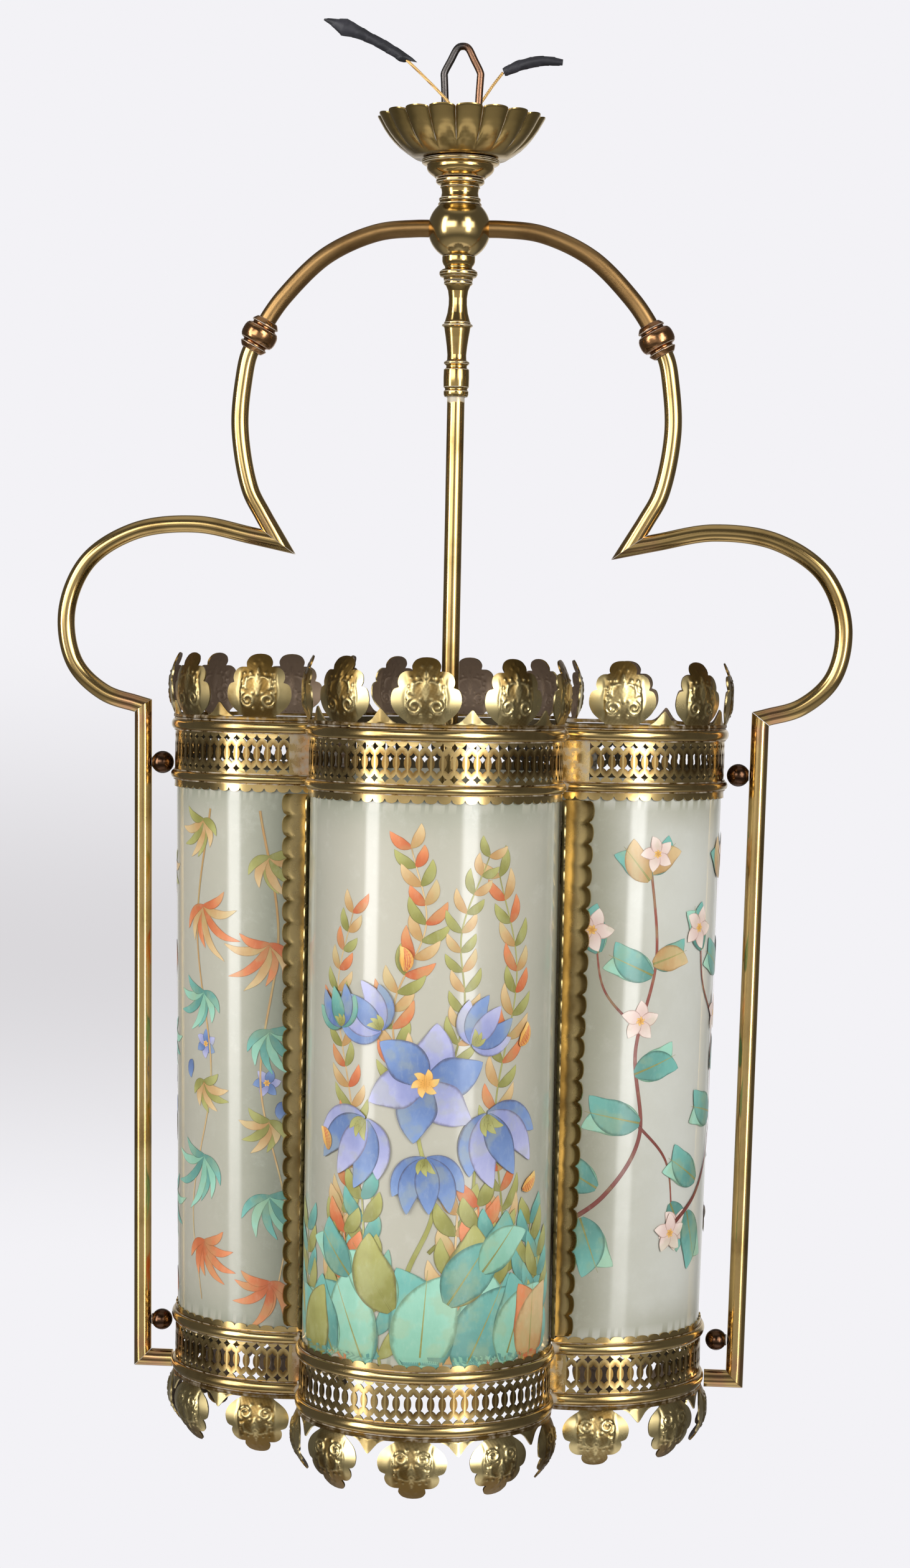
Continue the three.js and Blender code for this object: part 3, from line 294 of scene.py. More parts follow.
def tape():
    f = new_finish("black_tape")
    broad = f.clouds(90, 3)
    small = f.clouds(700, 2)
    colour = f.mix(shade(20, 20, 23), shade(40, 39, 44), f.ease(broad, 0.4, 0.7))
    return f.skin(colour, 0.34 + broad * 0.25, f.bump(small * 0.3 + broad, 0.06))


def braid():
    f = new_finish("woven_lead_cover")
    rings = f.node("TexWave", {"wave_type": "BANDS", "bands_direction": "DIAGONAL"},
                   {"Vector": f.place(), "Scale": 420.0, "Distortion": 1.5, "Detail": 2.0}, 1)
    small = f.clouds(500, 3)
    colour = f.mix(shade(158, 118, 66), shade(226, 186, 116), f.ease(rings * 0.6 + small * 0.6, 0.35, 0.8))
    return f.skin(colour, 0.55 + small * 0.2, f.bump(rings, 0.12, 0.8), Sheen_Weight=0.3)


def mottled(name, grain, light, dark, passage, gloss, depth, strength=0.5, **fixed):
    """A finish whose one grain (per metre, detail) shows in its colour, dullness (base, gain) and surface."""
    f = new_finish(name)
    small = f.clouds(*grain)
    colour = f.mix(shade(*light), shade(*dark), f.ease(small, *passage))
    return f.skin(colour, gloss[0] + small * gloss[1], f.bump(small, depth, strength), **fixed)


STEEL = steel()
GLASS = frosted("frosted_glass", shade(180, 176, 160), shade(140, 142, 124))
# A paler copy of the frosted glass for the right lobe: painted light, so that side reads as the lit one.
PAINTED_LIT_GLASS = frosted("frosted_glass_painted_lit", shade(202, 202, 192), shade(152, 150, 130))
GLASS_EDGE = frosted("cut_glass_edge", shade(96, 132, 108), shade(70, 104, 84), edge=True)
TAPE = tape()
BRAID = braid()
PORCELAIN = mottled("glazed_porcelain", (260, 4), (226, 221, 208), (176, 160, 132), (0.55, 0.75),
                    (0.22, 0.2), 0.03, Coat_Weight=0.5)
PEARL = mottled("pearl_bulb_glass", (300, 3), (236, 234, 226), (214, 210, 198), (0.4, 0.7),
                (0.34, 0.12), 0.02, 0.4, Transmission_Weight=0.35)
SOLDER = mottled("soft_solder", (320, 4), (196, 192, 182), (120, 104, 82), (0.42, 0.68),
                 (0.34, 0.3), 0.2, 0.8, Metallic=0.8)


class Form:
    """The surface of one piece in millimetres: points, their wear, faces and the finish of each face."""

    def __init__(self):
        self.points, self.wear, self.faces, self.finishes = [], [], [], []

    def add(self, points, faces, finish=0, wear=None):
        first = len(self.points)
        self.points += points
        self.wear += wear or [(0, 0, 0)] * len(points)
        self.faces += [tuple(first + i for i in face) for face in faces]
        self.finishes += [finish] * len(faces)

    def grid(self, rows, wear=None, round_across=False, round_along=False, finish=0):
        """A net of quads over rows of points; either way may close on itself."""
        wide, deep = len(rows[0]), len(rows)
        faces = []
        for i in range(deep if round_along else deep - 1):
            for j in range(wide if round_across else wide - 1):
                a, b = i * wide, ((i + 1) % deep) * wide
                k = (j + 1) % wide
                faces.append((a + j, a + k, b + k, b + j))
        flat = [w for row in wear for w in row] if wear else None
        self.add([p for row in rows for p in row], faces, finish, flat)

    def cap(self, ring):
        self.add(list(ring), [tuple(range(len(ring)))])


def piece(name, form, finishes, slot="brass", body="lantern", stands_for=(), thick=0.0, closed=True,
          crease=34, back=0):
    """Makes one named piece; thick gives a bent sheet its thickness and back the finish of its inside."""
    mesh = bpy.data.meshes.new(name)
    mesh.from_pydata([at(*p) for p in form.points], [], form.faces)
    mesh.polygons.foreach_set("material_index", form.finishes)
    mesh.polygons.foreach_set("use_smooth", [True] * len(form.faces))
    wear = mesh.attributes.new("wear", "FLOAT_COLOR", "POINT")
    wear.data.foreach_set("color", [v for w in form.wear for v in (*w, 1)])
    for finish in finishes:
        mesh.materials.append(finish)
    shape = bmesh.new()
    shape.from_mesh(mesh)
    bmesh.ops.remove_doubles(shape, verts=shape.verts, dist=1e-5)
    if closed:
        bmesh.ops.recalc_face_normals(shape, faces=shape.faces)
    shape.to_mesh(mesh)
    shape.free()
    mesh.set_sharp_from_angle(angle=math.radians(crease))
    if thick:
        uses = [0] * len(mesh.edges)
        for loop in mesh.loops:
            uses[loop.edge_index] += 1
        for edge, count in zip(mesh.edges, uses):
            if count == 1:
                edge.use_edge_sharp = True
    made = bpy.data.objects.new(name, mesh)
    scene.collection.objects.link(made)
    if thick:
        sheet = made.modifiers.new("metal thickness", "SOLIDIFY")
        sheet.thickness = thick / 1000
        sheet.offset = -1
        sheet.material_offset = back
    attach(made, body)
    if stands_for:
        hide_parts(*stands_for)
    return made


def fine(node, form, finishes, **more):
    """A piece that stands for the solid of the same name."""
    return piece(node + ".fine", form, finishes, stands_for=(node,), **more)


def upright(pairs):
    """Points of the plane through the two arms from their (across, height)."""
    return [Vector((x, 0, z)) for x, z in pairs]


def round_row(radius, z, sides):
    """A level ring of points about the axis."""
    return [Vector((radius * cos(360 * k / sides), radius * sin(360 * k / sides), z)) for k in range(sides)]


def softened(outline, radius=0.4):
    """A turned outline with its corners rounded, and the residue that its hollows hold."""
    points, residue = [outline[0]], [0]
    for before, corner, after in zip(outline, outline[1:], outline[2:]):
        a, b, c = Vector(before), Vector(corner), Vector(after)
        back, on = a - b, c - b
        if back.length < 1e-6 or on.length < 1e-6:
            continue
        reach = min(radius, back.length * 0.45, on.length * 0.45)
        hollow = (on.y * back.x - on.x * back.y) / (back.length * on.length)
        start, stop = b + back.normalized() * reach, b + on.normalized() * reach
        for share in (0, 0.5, 1):
            mid = start.lerp(b, share).lerp(b.lerp(stop, share), share)
            points.append(tuple(mid))
            residue.append(clamp(hollow * 1.4) if share == 0.5 else clamp(hollow * 0.5))
    return points + [outline[-1]], residue + [0]


def lathe(form, outline, sides=64, soft=0.4, closed=True, wear=(0, 0, 0), place=lambda p: p):
    """Turns an outline of (radius, height), drawn from the top down, about the axis."""
    points, residue = softened(outline, soft)
    rows, wears = [], []
    for (r, z), hollow in zip(points, residue):
        rows.append([place(p) for p in round_row(r, z, sides)])
        wears.append([(clamp(hollow + wear[0]), wear[1], wear[2])] * sides)
    form.grid(rows, wears, round_across=True, round_along=closed and points[0][0] > 0.01)


def turned_piece(name, outline, sides=64, soft=0.3, finish=TURNED_BRASS):
    form = Form()
    lathe(form, outline, sides, soft)
    fine(name, form, [finish])


def rounded_path(points, step=2.0):
    """A smooth line through points, spaced as a bent tube is (centripetal), with a sample every step."""
    ends = [points[0] * 2 - points[1], *points, points[-1] * 2 - points[-2]]
    line = [points[0]]
    for p0, p1, p2, p3 in zip(ends, ends[1:], ends[2:], ends[3:]):
        gaps = [max((b - a).length ** 0.5, 1e-4) for a, b in ((p0, p1), (p1, p2), (p2, p3))]
        into = ((p1 - p0) / gaps[0] - (p2 - p0) / (gaps[0] + gaps[1]) + (p2 - p1) / gaps[1]) * gaps[1]
        out = ((p2 - p1) / gaps[1] - (p3 - p1) / (gaps[1] + gaps[2]) + (p3 - p2) / gaps[2]) * gaps[1]
        count = max(2, round((p2 - p1).length / step))
        for i in range(1, count + 1):
            t = i / count
            line.append(p1 * (2 * t**3 - 3 * t**2 + 1) + into * (t**3 - 2 * t**2 + t)
                        + p2 * (3 * t**2 - 2 * t**3) + out * (t**3 - t**2))
    return line


def tangent(line, i):
    return (line[min(i + 1, len(line) - 1)] - line[max(i - 1, 0)]).normalized()


def tube(form, line, radius, sides=TUBE_SIDES, cuts=(None, None), wear_at=None):
    """Draws a round tube along a line. A cut is the plane, (point, normal), that an end is mitred to."""
    across = tangent(line, 0).orthogonal()
    rows, wears = [], []
    for i, centre in enumerate(line):
        along = tangent(line, i)
        across = (across - along * across.dot(along)).normalized()
        other = along.cross(across)
        r = radius(i / (len(line) - 1)) if callable(radius) else radius
        ring = [centre + across * (r * cos(360 * k / sides)) + other * (r * sin(360 * k / sides))
                for k in range(sides)]
        rows.append(ring)
        worn = wear_at(centre) if wear_at else (0, 0, 0)
        wears.append([worn] * sides)
    for which, cut in ((0, cuts[0]), (-1, cuts[1])):
        if not cut:
            continue
        point, normal = cut
        along = tangent(line, 0 if which == 0 else len(line) - 1)

        def short_of(ring):
            sign = 1 if which == 0 else -1
            return min(sign * (p - point).dot(normal) for p in ring) > 0.4

        while len(rows) > 2 and not short_of(rows[which]):
            rows.pop(which)
            wears.pop(which)
        ring = [p + along * ((point - p).dot(normal) / along.dot(normal)) for p in rows[which]]
        rows.insert(0 if which == 0 else len(rows), ring)
        wears.insert(0 if which == 0 else len(wears), [(0.25, 0.3, 0.5)] * sides)
    form.grid(rows, wears, round_across=True)
    form.cap(rows[0])
    form.cap(rows[-1])


# Cup, neck, ball and stem
CUP_FLOOR_Z = 306.351
NECK_FOOT_Z = BALL_Z + math.sqrt((BALL_R + SEAT) ** 2 - 11.8**2)
COLLAR_FOOT_Z = BALL_Z - math.sqrt((BALL_R + SEAT) ** 2 - 9.1**2) - 13.3
VASE_TOP_Z = COLLAR_FOOT_Z - SEAT
VASE_FOOT_Z = VASE_TOP_Z - 62.3


def on_ball(radius, side):
    return (radius, BALL_Z + side * math.sqrt((BALL_R + SEAT) ** 2 - radius**2))


def fluted_cup():
    form = Form()
    profile = [(25.3, 0), (29.5, 0.12), (33.4, 0.25), (36.4, 0.38), (39.1, 0.52), (41.6, 0.68), (43.8, 0.85),
               (45.3, 0.97), (45.4, 1.0)]
    smooth = []
    for (r0, s0), (r1, s1) in zip(profile, profile[1:]):
        smooth += [(lerp(r0, r1, k / 3), lerp(s0, s1, k / 3)) for k in range(3)]
    smooth.append(profile[-1])
    outline = [(5.3, CUP_FLOOR_Z)] + [(r, CUP_FLOOR_Z + 22.3 * s) for r, s in smooth]
    inside = [(r - 1.1, CUP_FLOOR_Z + 1.2 + 21.1 * s) for r, s in smooth]
    sides = 18 * 20
    rows, wears = [], []
    for r, z in outline + inside[::-1] + [(5.3, CUP_FLOOR_Z + 1.2)]:
        ring, worn = [], []
        rise = clamp((r - 24.6) / 20.6)
        rise = rise * rise * (3 - 2 * rise)
        for k in range(sides):
            angle = 360 * k / sides
            off = 1 - abs(((angle - 10) % 20) / 10 - 1)
            dip = 1 - math.sqrt(max(0.0, 1 - (1 - off) ** 2))
            deep = r - 3.6 * rise * dip
            ring.append(Vector((deep * cos(angle), deep * sin(angle), z - 1.4 * rise * dip)))
            valley = clamp((dip - 0.5) * 2) * clamp(rise * 2.5)
            worn.append((valley * 0.8, 0.25 * valley + 0.2 * (1 - rise), 0))
        rows.append(ring)
        wears.append(worn)
    form.grid(rows, wears, round_across=True, round_along=True)
    fine("ceiling_cup", form, [CUP_BRASS], crease=40)


def below(z, drops):
    """Outline points, (radius, height), from their drops below a height."""
    return [(r, z - drop) for r, drop in drops]


def centre_ball():
    form = Form()
    rows, wears = [], []
    top, foot = 90 - math.degrees(math.asin(5.3 / BALL_R)), -90 + math.degrees(math.asin(3.8 / BALL_R))
    for k in range(61):
        angle = lerp(top, foot, k / 60)
        rows.append(round_row(BALL_R * cos(angle), BALL_Z + BALL_R * sin(angle), 96))
        near = clamp((abs(angle) - 56) / 8)
        wears.append([(near * 0.75, 0.15 + near * 0.4, near * 0.5)] * 96)
    form.grid(rows, wears, round_across=True)
    fine("centre_ball", form, [BRASS])


def centre_tube():
    foot = -50
    top = VASE_FOOT_Z + 12 - SEAT
    heights = [top, VASE_FOOT_Z, VASE_FOOT_Z - 2] + [lerp(VASE_FOOT_Z - 6, foot, k / 30) for k in range(31)]

    def worn(p):
        below_vase = abs(p.z - VASE_FOOT_Z)
        return (0.75 if below_vase < 2.5 else 0, 0.2, 0.3 if below_vase < 8 else 0)

    form = Form()
    tube(form, [Vector((0, 0, z)) for z in heights], TUBE_R, wear_at=worn)
    fine("centre_tube", form, [TUBE_BRASS])


def column():
    fluted_cup()
    bore = 5.3
    neck_top = NECK_FOOT_Z + 14.2
    turned_piece("neck_flare", below(neck_top + SEAT + 10.4, [
        (bore, 0), (19.8, 0), (20.9, 0.6), (21.2, 1.6), (20.9, 2.6), (20, 3.2), (18.5, 3.6), (18.2, 4),
        (18.3, 5.2), (18, 6.2), (17.2, 7.4), (15.8, 8.6), (14.3, 9.6), (13.6, 10.4), (bore, 10.4)]),
        96, 0.4)
    turned_piece("ringed_neck", below(neck_top, [
        (bore, 0), (12.2, 0), (13.1, 0.7), (13.1, 2.1), (12.2, 3.0), (10.6, 3.5), (10.5, 4.2), (11.0, 4.7),
        (10.2, 5.4), (9.9, 7.6), (10.3, 9.9), (11.3, 10.6), (11.3, 11.7), (10.9, 12.3), (11.8, 13.5)])
        + [on_ball(r, 1) for r in (11.8, 8, bore)], 80)
    centre_ball()
    bore = 3.8
    turned_piece("stem_collar", [on_ball(r, -1) for r in (bore, 6.5, 9.0)] + below(COLLAR_FOOT_Z, [
        (8.9, -10.2), (8.3, -8.7), (7.4, -7.6), (7.5, -6.6), (9.0, -6.0), (10.3, -4.9), (10.4, -3.4),
        (9.6, -2.1), (8.0, -1.5), (7.9, 0), (bore, 0)]), 72, 0.35)
    turned_piece("stem_vase", below(VASE_TOP_Z, [
        (bore, 0), (7.7, 0), (7.8, 1.4), (6.6, 2.4), (5.5, 5), (4.95, 9), (5.0, 12.5), (5.6, 17), (6.6, 20.6),
        (6.9, 21.6), (7.3, 22.1), (7.2, 22.7), (8.3, 23.3), (8.4, 24.0), (7.2, 24.7), (7.0, 25.6), (6.9, 26.5),
        (6.3, 30), (5.6, 35), (5.15, 39.6), (5.3, 42.4), (6.9, 43.4), (6.9, 44.4), (5.6, 45.4), (5.7, 46.6),
        (6.9, 47.4), (7.0, 52), (6.9, 57.0), (6.1, 57.8), (6.2, 58.6), (6.8, 59.2), (6.7, 61.2), (6.1, 62.3),
        (5.06, 62.3), (5.06, 50.3), (bore, 50.3)]))
    centre_tube()


# Arms: bent tubes in the XZ plane
KNUCKLE = Vector((108, 0, BALL_Z - 58.5))
CUSP = Vector((95.6, 0, 98))
ELBOW = Vector((CENTRE_TOP + SHEET_R + SIDE_GAP + TUBE_R, 0, 7))
FOOT = Vector((CENTRE_FOOT + SHEET_R + SIDE_GAP + TUBE_R, 0, LOWER_FOOT_Z + 2))


SIDES = (("right", 1), ("left", -1))


def arm_lines():
    lean = Vector((cos(62), 0, -sin(62))) * 11.4
    upper = [(10, 0), (24, 0), (45, 2.5), (72, 15), (94, 36.5)]
    lower = [(116, 81.5), (117.8, 108.5), (111.8, 141.8), (104.6, 155.6), (95.6, 170.5)]
    whole = rounded_path(upright(below(BALL_Z, upper)) + [KNUCKLE - lean, KNUCKLE, KNUCKLE + lean]
                         + upright(below(BALL_Z, lower)))
    middle = min(range(len(whole)), key=lambda i: (whole[i] - KNUCKLE).length)
    along = tangent(whole, middle)
    scroll = [(0.2082, 94.2), (0.6219, 99.8), (1.0849, 95.5), (1.4411, 78.5), (1.5938, 51), (1.5285, 23),
              (1.3, 6.8), (1, 0)]
    scroll_points = upright([(lerp(CUSP.x, ELBOW.x, share), ELBOW.z + rise) for share, rise in scroll])
    outward = (scroll_points[0] - CUSP).normalized()
    scroll_line = rounded_path([CUSP - outward * 4, *scroll_points])
    return whole, middle, along, scroll_line, outward


def facing(sign, p):
    """A point of the right arm, 1, or its match on the left one, -1."""
    return Vector((sign * p.x, sign * p.y, p.z))


def mitre(corner, normal, gap=0.12):
    """The two cuts of tubes that meet at a corner, each a little short of it."""
    normal = normal.normalized()
    return [(corner + normal * short, normal) for short in (-gap, gap)]


def arms():
    whole, middle, along, scroll_line, outward = arm_lines()
    to_cusp = (whole[-1] - whole[-3]).normalized()
    into_elbow = (scroll_line[-1] - scroll_line[-3]).normalized()
    down = (FOOT - ELBOW).normalized()
    inward = Vector((-1, 0, 0))
    at_knuckle = mitre(KNUCKLE, along, 0.15)
    at_cusp = mitre(CUSP, to_cusp + outward)
    at_elbow = mitre(ELBOW, into_elbow + down)
    at_foot = mitre(FOOT, down + inward)
    past_cusp = [whole[-1] + to_cusp * step for step in (2, 4, 6, 8, 10)]
    before_cusp = [scroll_line[0] - outward * step for step in (8, 6, 4, 2)]
    past_elbow = [scroll_line[-1] + into_elbow * step for step in (3, 6, 9, 12)]
    band = Vector((CENTRE_FOOT + SHEET_R + SEAT + 1.8 + SEAT, 0, FOOT.z))

    def soldered(p):
        near = min((p - joint).length for joint in (CUSP, ELBOW, FOOT))
        return (0, 0.15, clamp((26 - near) / 18) * 0.8)

    def steps(a, b, step=6.0):
        count = max(2, round((b - a).length / step))
        return [a.lerp(b, k / count) for k in range(count + 1)]

    runs = (
        ("upper_arm", whole[:middle + 1], (None, at_knuckle[0]), ARM_BRASS),
        ("lower_arm", whole[middle:] + past_cusp, (at_knuckle[1], at_cusp[0]), TUBE_BRASS),
        ("scroll_arm", before_cusp + scroll_line + past_elbow, (at_cusp[1], at_elbow[0]), TUBE_BRASS),
        ("side_tube", steps(ELBOW - down * 12, FOOT + down * 10), (at_elbow[1], at_foot[0]), TUBE_BRASS),
        ("foot_stub", steps(FOOT - inward * 10, band, 3), (at_foot[1], None), TUBE_BRASS))
    swing = Vector((0, 0, 1)).rotation_difference(along)
    half = [(5.35, 9.4), (5.9, 9.2), (6.6, 8.4), (7.5, 7.1), (7.7, 6.5), (7.3, 6.1), (6.7, 5.9), (6.7, 5.2),
            (7.4, 4.9), (8.6, 4.3), (9.4, 3.0), (9.75, 1.5), (9.8, 0)]
    for side, sign in SIDES:
        for name, line, cuts, finish in runs:
            form = Form()
            tube(form, line, TUBE_R, cuts=cuts, wear_at=soldered)
            form.points = [facing(sign, p) for p in form.points]
            fine(f"{name}_{side}", form, [finish])
        form = Form()
        lathe(form, half + [(r, -z) for r, z in half[-2::-1]], soft=0.3, wear=(0.12, 0.3, 0.5),
              place=lambda p: facing(sign, KNUCKLE + swing @ p))
        fine(f"arm_knuckle_{side}", form, [KNUCKLE_BRASS])


def spacer(name, radius, z, band_x, sign):
    share = (ELBOW.z - z) / (ELBOW.z - FOOT.z)
    tube_x = lerp(ELBOW.x, FOOT.x, share) - TUBE_R - SEAT
    ball_x = band_x + SEAT + radius
    reach = tube_x - ball_x
    outline = [(0.0, reach), (2.9, reach), (3.1, reach - 0.6), (2.4, reach - 1.4), (2.35, reach - 2)]
    outline += [(radius * sin(a), radius * cos(a)) for a in range(24, 180, 12)] + [(0.0, -radius)]
    form = Form()
    lathe(form, outline, 56, soft=0.25, closed=False, wear=(0, 0.4, 0),
          place=lambda p: facing(sign, Vector((ball_x + p.z, p.y, z - p.x))))
    fine(name, form, [BALL_BRASS])


def spacers():
    for side, sign in SIDES:
        spacer(f"upper_spacer_{side}", 6.2, -23.8, CENTRE_TOP + SHEET_R + 1.2, sign)
        spacer(f"lower_spacer_{side}", 5.8, -332.2, CENTRE_FOOT + SHEET_R + 2.4, sign)


# Galleries: the piercing's columns (their pitch in degrees), and the lobe ends the solder has turned pink
PITCH = 5.1
COLUMNS = 37
SHEET_GAP = 0.13
BLUSHED_ENDS = ((2, 1), (0, 1), (1, -1))


def sheet_of(outline, holes, inner=()):
    """A flat plate as triangles: its outline and holes kept, with more points inside."""
    loops = [outline, *holes]
    points, edges = [], []
    for loop in loops:
        first = len(points)
        points += [Vector(p) for p in loop]
        edges += [(first + k, first + (k + 1) % len(loop)) for k in range(len(loop))]
    points += [Vector(p) for p in inner]
    flat, _, faces, *_ = geometry.delaunay_2d_cdt(points, edges, [], 0, 1e-5)

    def inside(x, y, loop):
        hit = False
        for (x0, y0), (x1, y1) in zip(loop, loop[1:] + loop[:1]):
            if (y0 > y) != (y1 > y) and x < (x1 - x0) * (y - y0) / (y1 - y0) + x0:
                hit = not hit
        return hit

    kept = []
    for face in faces:
        x = sum(flat[i].x for i in face) / len(face)
        y = sum(flat[i].y for i in face) / len(face)
        if inside(x, y, outline) and not any(inside(x, y, hole) for hole in holes):
            kept.append(tuple(face))
    return [(p.x, p.y) for p in flat], kept


def spindle(y, tall):
    """The right half of one pierced slot, from the top down: star heads and a narrow waist."""
    half = [(0, tall), (0.7, tall - 0.9), (1.2, tall - 1.3), (2.1, tall - 1.8), (1.55, tall - 2.6),
            (1.1, 1.2), (1.0, 0)]
    return [(x, y + rise) for x, rise in half] + [(x, y - rise) for x, rise in half[-2::-1]]


def star_notch(x, y, side, size=2.25):
    """Half a small pierced star on the edge of a column, from the top down."""
    arm = [(0, size), (0.6, 1.3), (0.95, 0.95), (1.3, 0.6), (size, 0)]
    return [(x + side * a, y + b) for a, b in arm] + [(x + side * a, y - b) for a, b in arm[-2::-1]]


def column_cell(low, high, middle):
    """One column of the piercing, a spindle in its middle and half stars on its edges."""
    half = PITCH / 2 * math.pi / 180 * SHEET_R
    left, right = [], []
    for y in (middle + 7.9, middle - 7.9):
        left += star_notch(-half, y, 1)
        right += star_notch(half, y, -1)
    outline = [(-half, high), *left, (-half, low), (half, low), *right[::-1], (half, high)]
    rim = spindle(middle, 5.1)
    slot = rim + [(-x, y) for x, y in rim[-2:0:-1]]
    return sheet_of(outline, [slot])


def scallops(pitch, count, start):
    """A row of small round lobes: (across, rise) points."""
    rises = [math.sqrt(max(0.0, 1 - (j / 4 - 1) ** 2)) for j in range(8)]
    row = [(start + pitch * (k + j / 8), rises[j]) for k in range(count) for j in range(8)]
    return row + [(start + pitch * count, 0)]


def gallery(name, lobe, centre, plain, low, high, margin_from, margin_to, pitch):
    """A pierced sheet of one lobe, with a scalloped margin that laps the glass."""
    form = Form()
    middle = (low + high) / 2
    whole = end_angle(centre, SHEET_R) - SHEET_GAP
    spread = COLUMNS * PITCH / 2
    per_degree = math.pi / 180 * SHEET_R

    def at_angle(angle, z, c=centre):
        return lobe_point(lobe, c, SHEET_R, angle, z)

    points, faces = column_cell(low, high, middle)
    worn = [(0.1, 0.5 if abs(x) < 2.3 and abs(y - middle) < 5.2 else 0, 0) for x, y in points]
    for k in range(COLUMNS):
        shift = -spread + PITCH * (k + 0.5)
        form.add([at_angle(shift + x / per_degree, y) for x, y in points], faces, 0, worn)
    for side in (1, -1):
        rows = [[at_angle(side * lerp(spread, whole, k / 5), z) for z in (high, middle, low)]
                for k in range(6)]
        blush = 0.8 if (lobe, side) in BLUSHED_ENDS else 0.4
        form.grid(rows, [[(0.6, 0.15, blush * min(1, 0.3 + 0.2 * k))] * 3 for k in range(6)])
    for z0, z1 in plain:
        form.grid([[at_angle(lerp(-whole, whole, k / 80), z) for z in (z0, z1)] for k in range(81)])
    count = int(2 * whole * per_degree / pitch)
    rows = []
    reach = whole * per_degree
    for x, rise in [(-reach, 0), *scallops(pitch, count, -count * pitch / 2), (reach, 0)]:
        z = lerp(margin_from, margin_to, 0.45 + 0.55 * rise)
        turned = x / per_degree
        rows.append([at_angle(turned, margin_from), at_angle(turned, z, cage_centre(z, centre))])
    form.grid(rows, [[(0.3, 0.2, 0), (0, 0, 0)]] * len(rows))
    # The sheet's inner face takes the inside brass, which carries painted shade.
    fine(name, form, [BRASS, SHADED_INSIDE_BRASS], thick=SHEET_T, back=1)


def cage_centre(z, centre):
    return centre_at(z) if APRON_Z > z > RIM_Z else centre


def galleries():
    for lobe, word in enumerate(LOBES):
        gallery(f"upper_gallery_{word}", lobe, CENTRE_TOP, [(-26.4, -32.2), (-5.4, 1.4)], -26.4, -5.4,
                -32.2, APRON_Z, 6.8)
        gallery(f"lower_gallery_{word}", lobe, CENTRE_FOOT, [(-348.6, -355.5), (-322.1, -328.7)],
                -348.6, -328.7,
                -322.1, RIM_Z, 7.4)


def ring_round(form, centre, profile, worn):
    """A moulding of (radius, height) points run round all four lobes and mitred on the diagonals."""
    ends = [end_angle(centre, r) for r, _ in profile]
    count = round(max(ends))
    rows, wears = [], []
    for lobe in range(4):
        for k in range(count):
            share = k / count
            rows.append([lobe_point(lobe, centre, r, lerp(-end, end, share), z)
                         for (r, z), end in zip(profile, ends)])
            corner = clamp(1 - min(share, 1 - share) * count / 4)
            wears.append([(max(w[0], corner * 0.9), w[1], max(w[2], corner * 0.6)) for w in worn])
    form.grid(rows, wears, round_across=True, round_along=True)


def bead(node, centre, low, high):
    inner = SHEET_R + SEAT * 0.4
    half, mid = (high - low) / 2, (high + low) / 2
    profile = [(inner, low), (inner + 0.5, low), (inner + 0.5, low + 0.55)]
    profile += [(inner + 0.25 + 1.72 * cos(a), mid + (half - 0.6) * sin(a)) for a in range(-84, 85, 12)]
    profile += [(inner + 0.5, high - 0.55), (inner + 0.5, high), (inner, high)]
    last = len(profile)
    worn = [(0.62, 0.5, 0) if k in (1, 2, last - 3, last - 2) else (0, 0.15, 0) for k in range(last)]
    form = Form()
    ring_round(form, centre, profile, worn)
    fine(node, form, [BRASS])


def beads():
    bead("upper_bead_top", CENTRE_TOP, -5.4, 1.4)
    bead("upper_bead_low", CENTRE_TOP, -32.2, -26.5)
    bead("lower_bead_top", CENTRE_FOOT, -328.7, -322.1)
    bead("lower_bead_low", CENTRE_FOOT, -355.5, -348.6)


def lump(form, middle, size):
    """A small uneven blob of solder."""
    rows = []
    for k in range(9):
        up = 22.5 * k
        row = []
        for j in range(12):
            out = size * sin(up)
            swell = 1 + 0.2 * math.sin(5.1 * j + 3.3 * k)
            across = (out * cos(30 * j) * swell, out * sin(30 * j) * swell)
            row.append(middle + Vector((*across, size * 0.7 * cos(up))))
        rows.append(row)
    form.grid(rows, round_across=True)


def solder_lumps():
    """What the soldering iron left where the sheets of two lobes meet."""
    form = Form()
    for centre, levels in ((CENTRE_TOP, (0.6, -5.6, -26.2, -31.6)),
                           (CENTRE_FOOT, (-322.6, -328.9, -348.4, -354.8))):
        end = end_angle(centre, SHEET_R + 0.8)
        for lobe in range(4):
            for z in levels:
                for _ in range(2):
                    spot = lobe_point(lobe, centre, SHEET_R + 0.5, end - chance.uniform(0.4, 2.4),
                                      z + chance.uniform(-0.7, 0.7))
                    lump(form, spot, chance.uniform(0.7, 1.3))
    piece("solder_lumps", form, [SOLDER], closed=False, crease=180)


# Leaf borders
LEAF_H = 33.8
LEAF_EDGE = [(8.8, 0), (9.2, 1.2), (12.4, 3.6), (15.9, 6.8), (17.8, 11), (17.5, 15.4), (16.2, 17.8),
             (13.4, 18.8), (14.2, 21.2), (13.4, 24.6), (10.8, 26.6), (6.7, 26.9), (7.3, 29.4), (5.8, 32.2),
             (3, 33.5), (0, LEAF_H)]
LEAF_CORNERS = {0, 7, 11, 15}
LEAF_REACH = 70.2
STRIP_R = SHEET_R + 1.2
FLORETS = ((5.9, 20.6, 1.0), (4.1, 23.6, 0.7), (8.0, 16.6, 0.7), (2.6, 13.2, 0.6), (8.6, 19.4, 0.7),
           (2.4, 5.2, 0.7), (7.4, 23.4, 0.6), (9.0, 13.6, 0.5))


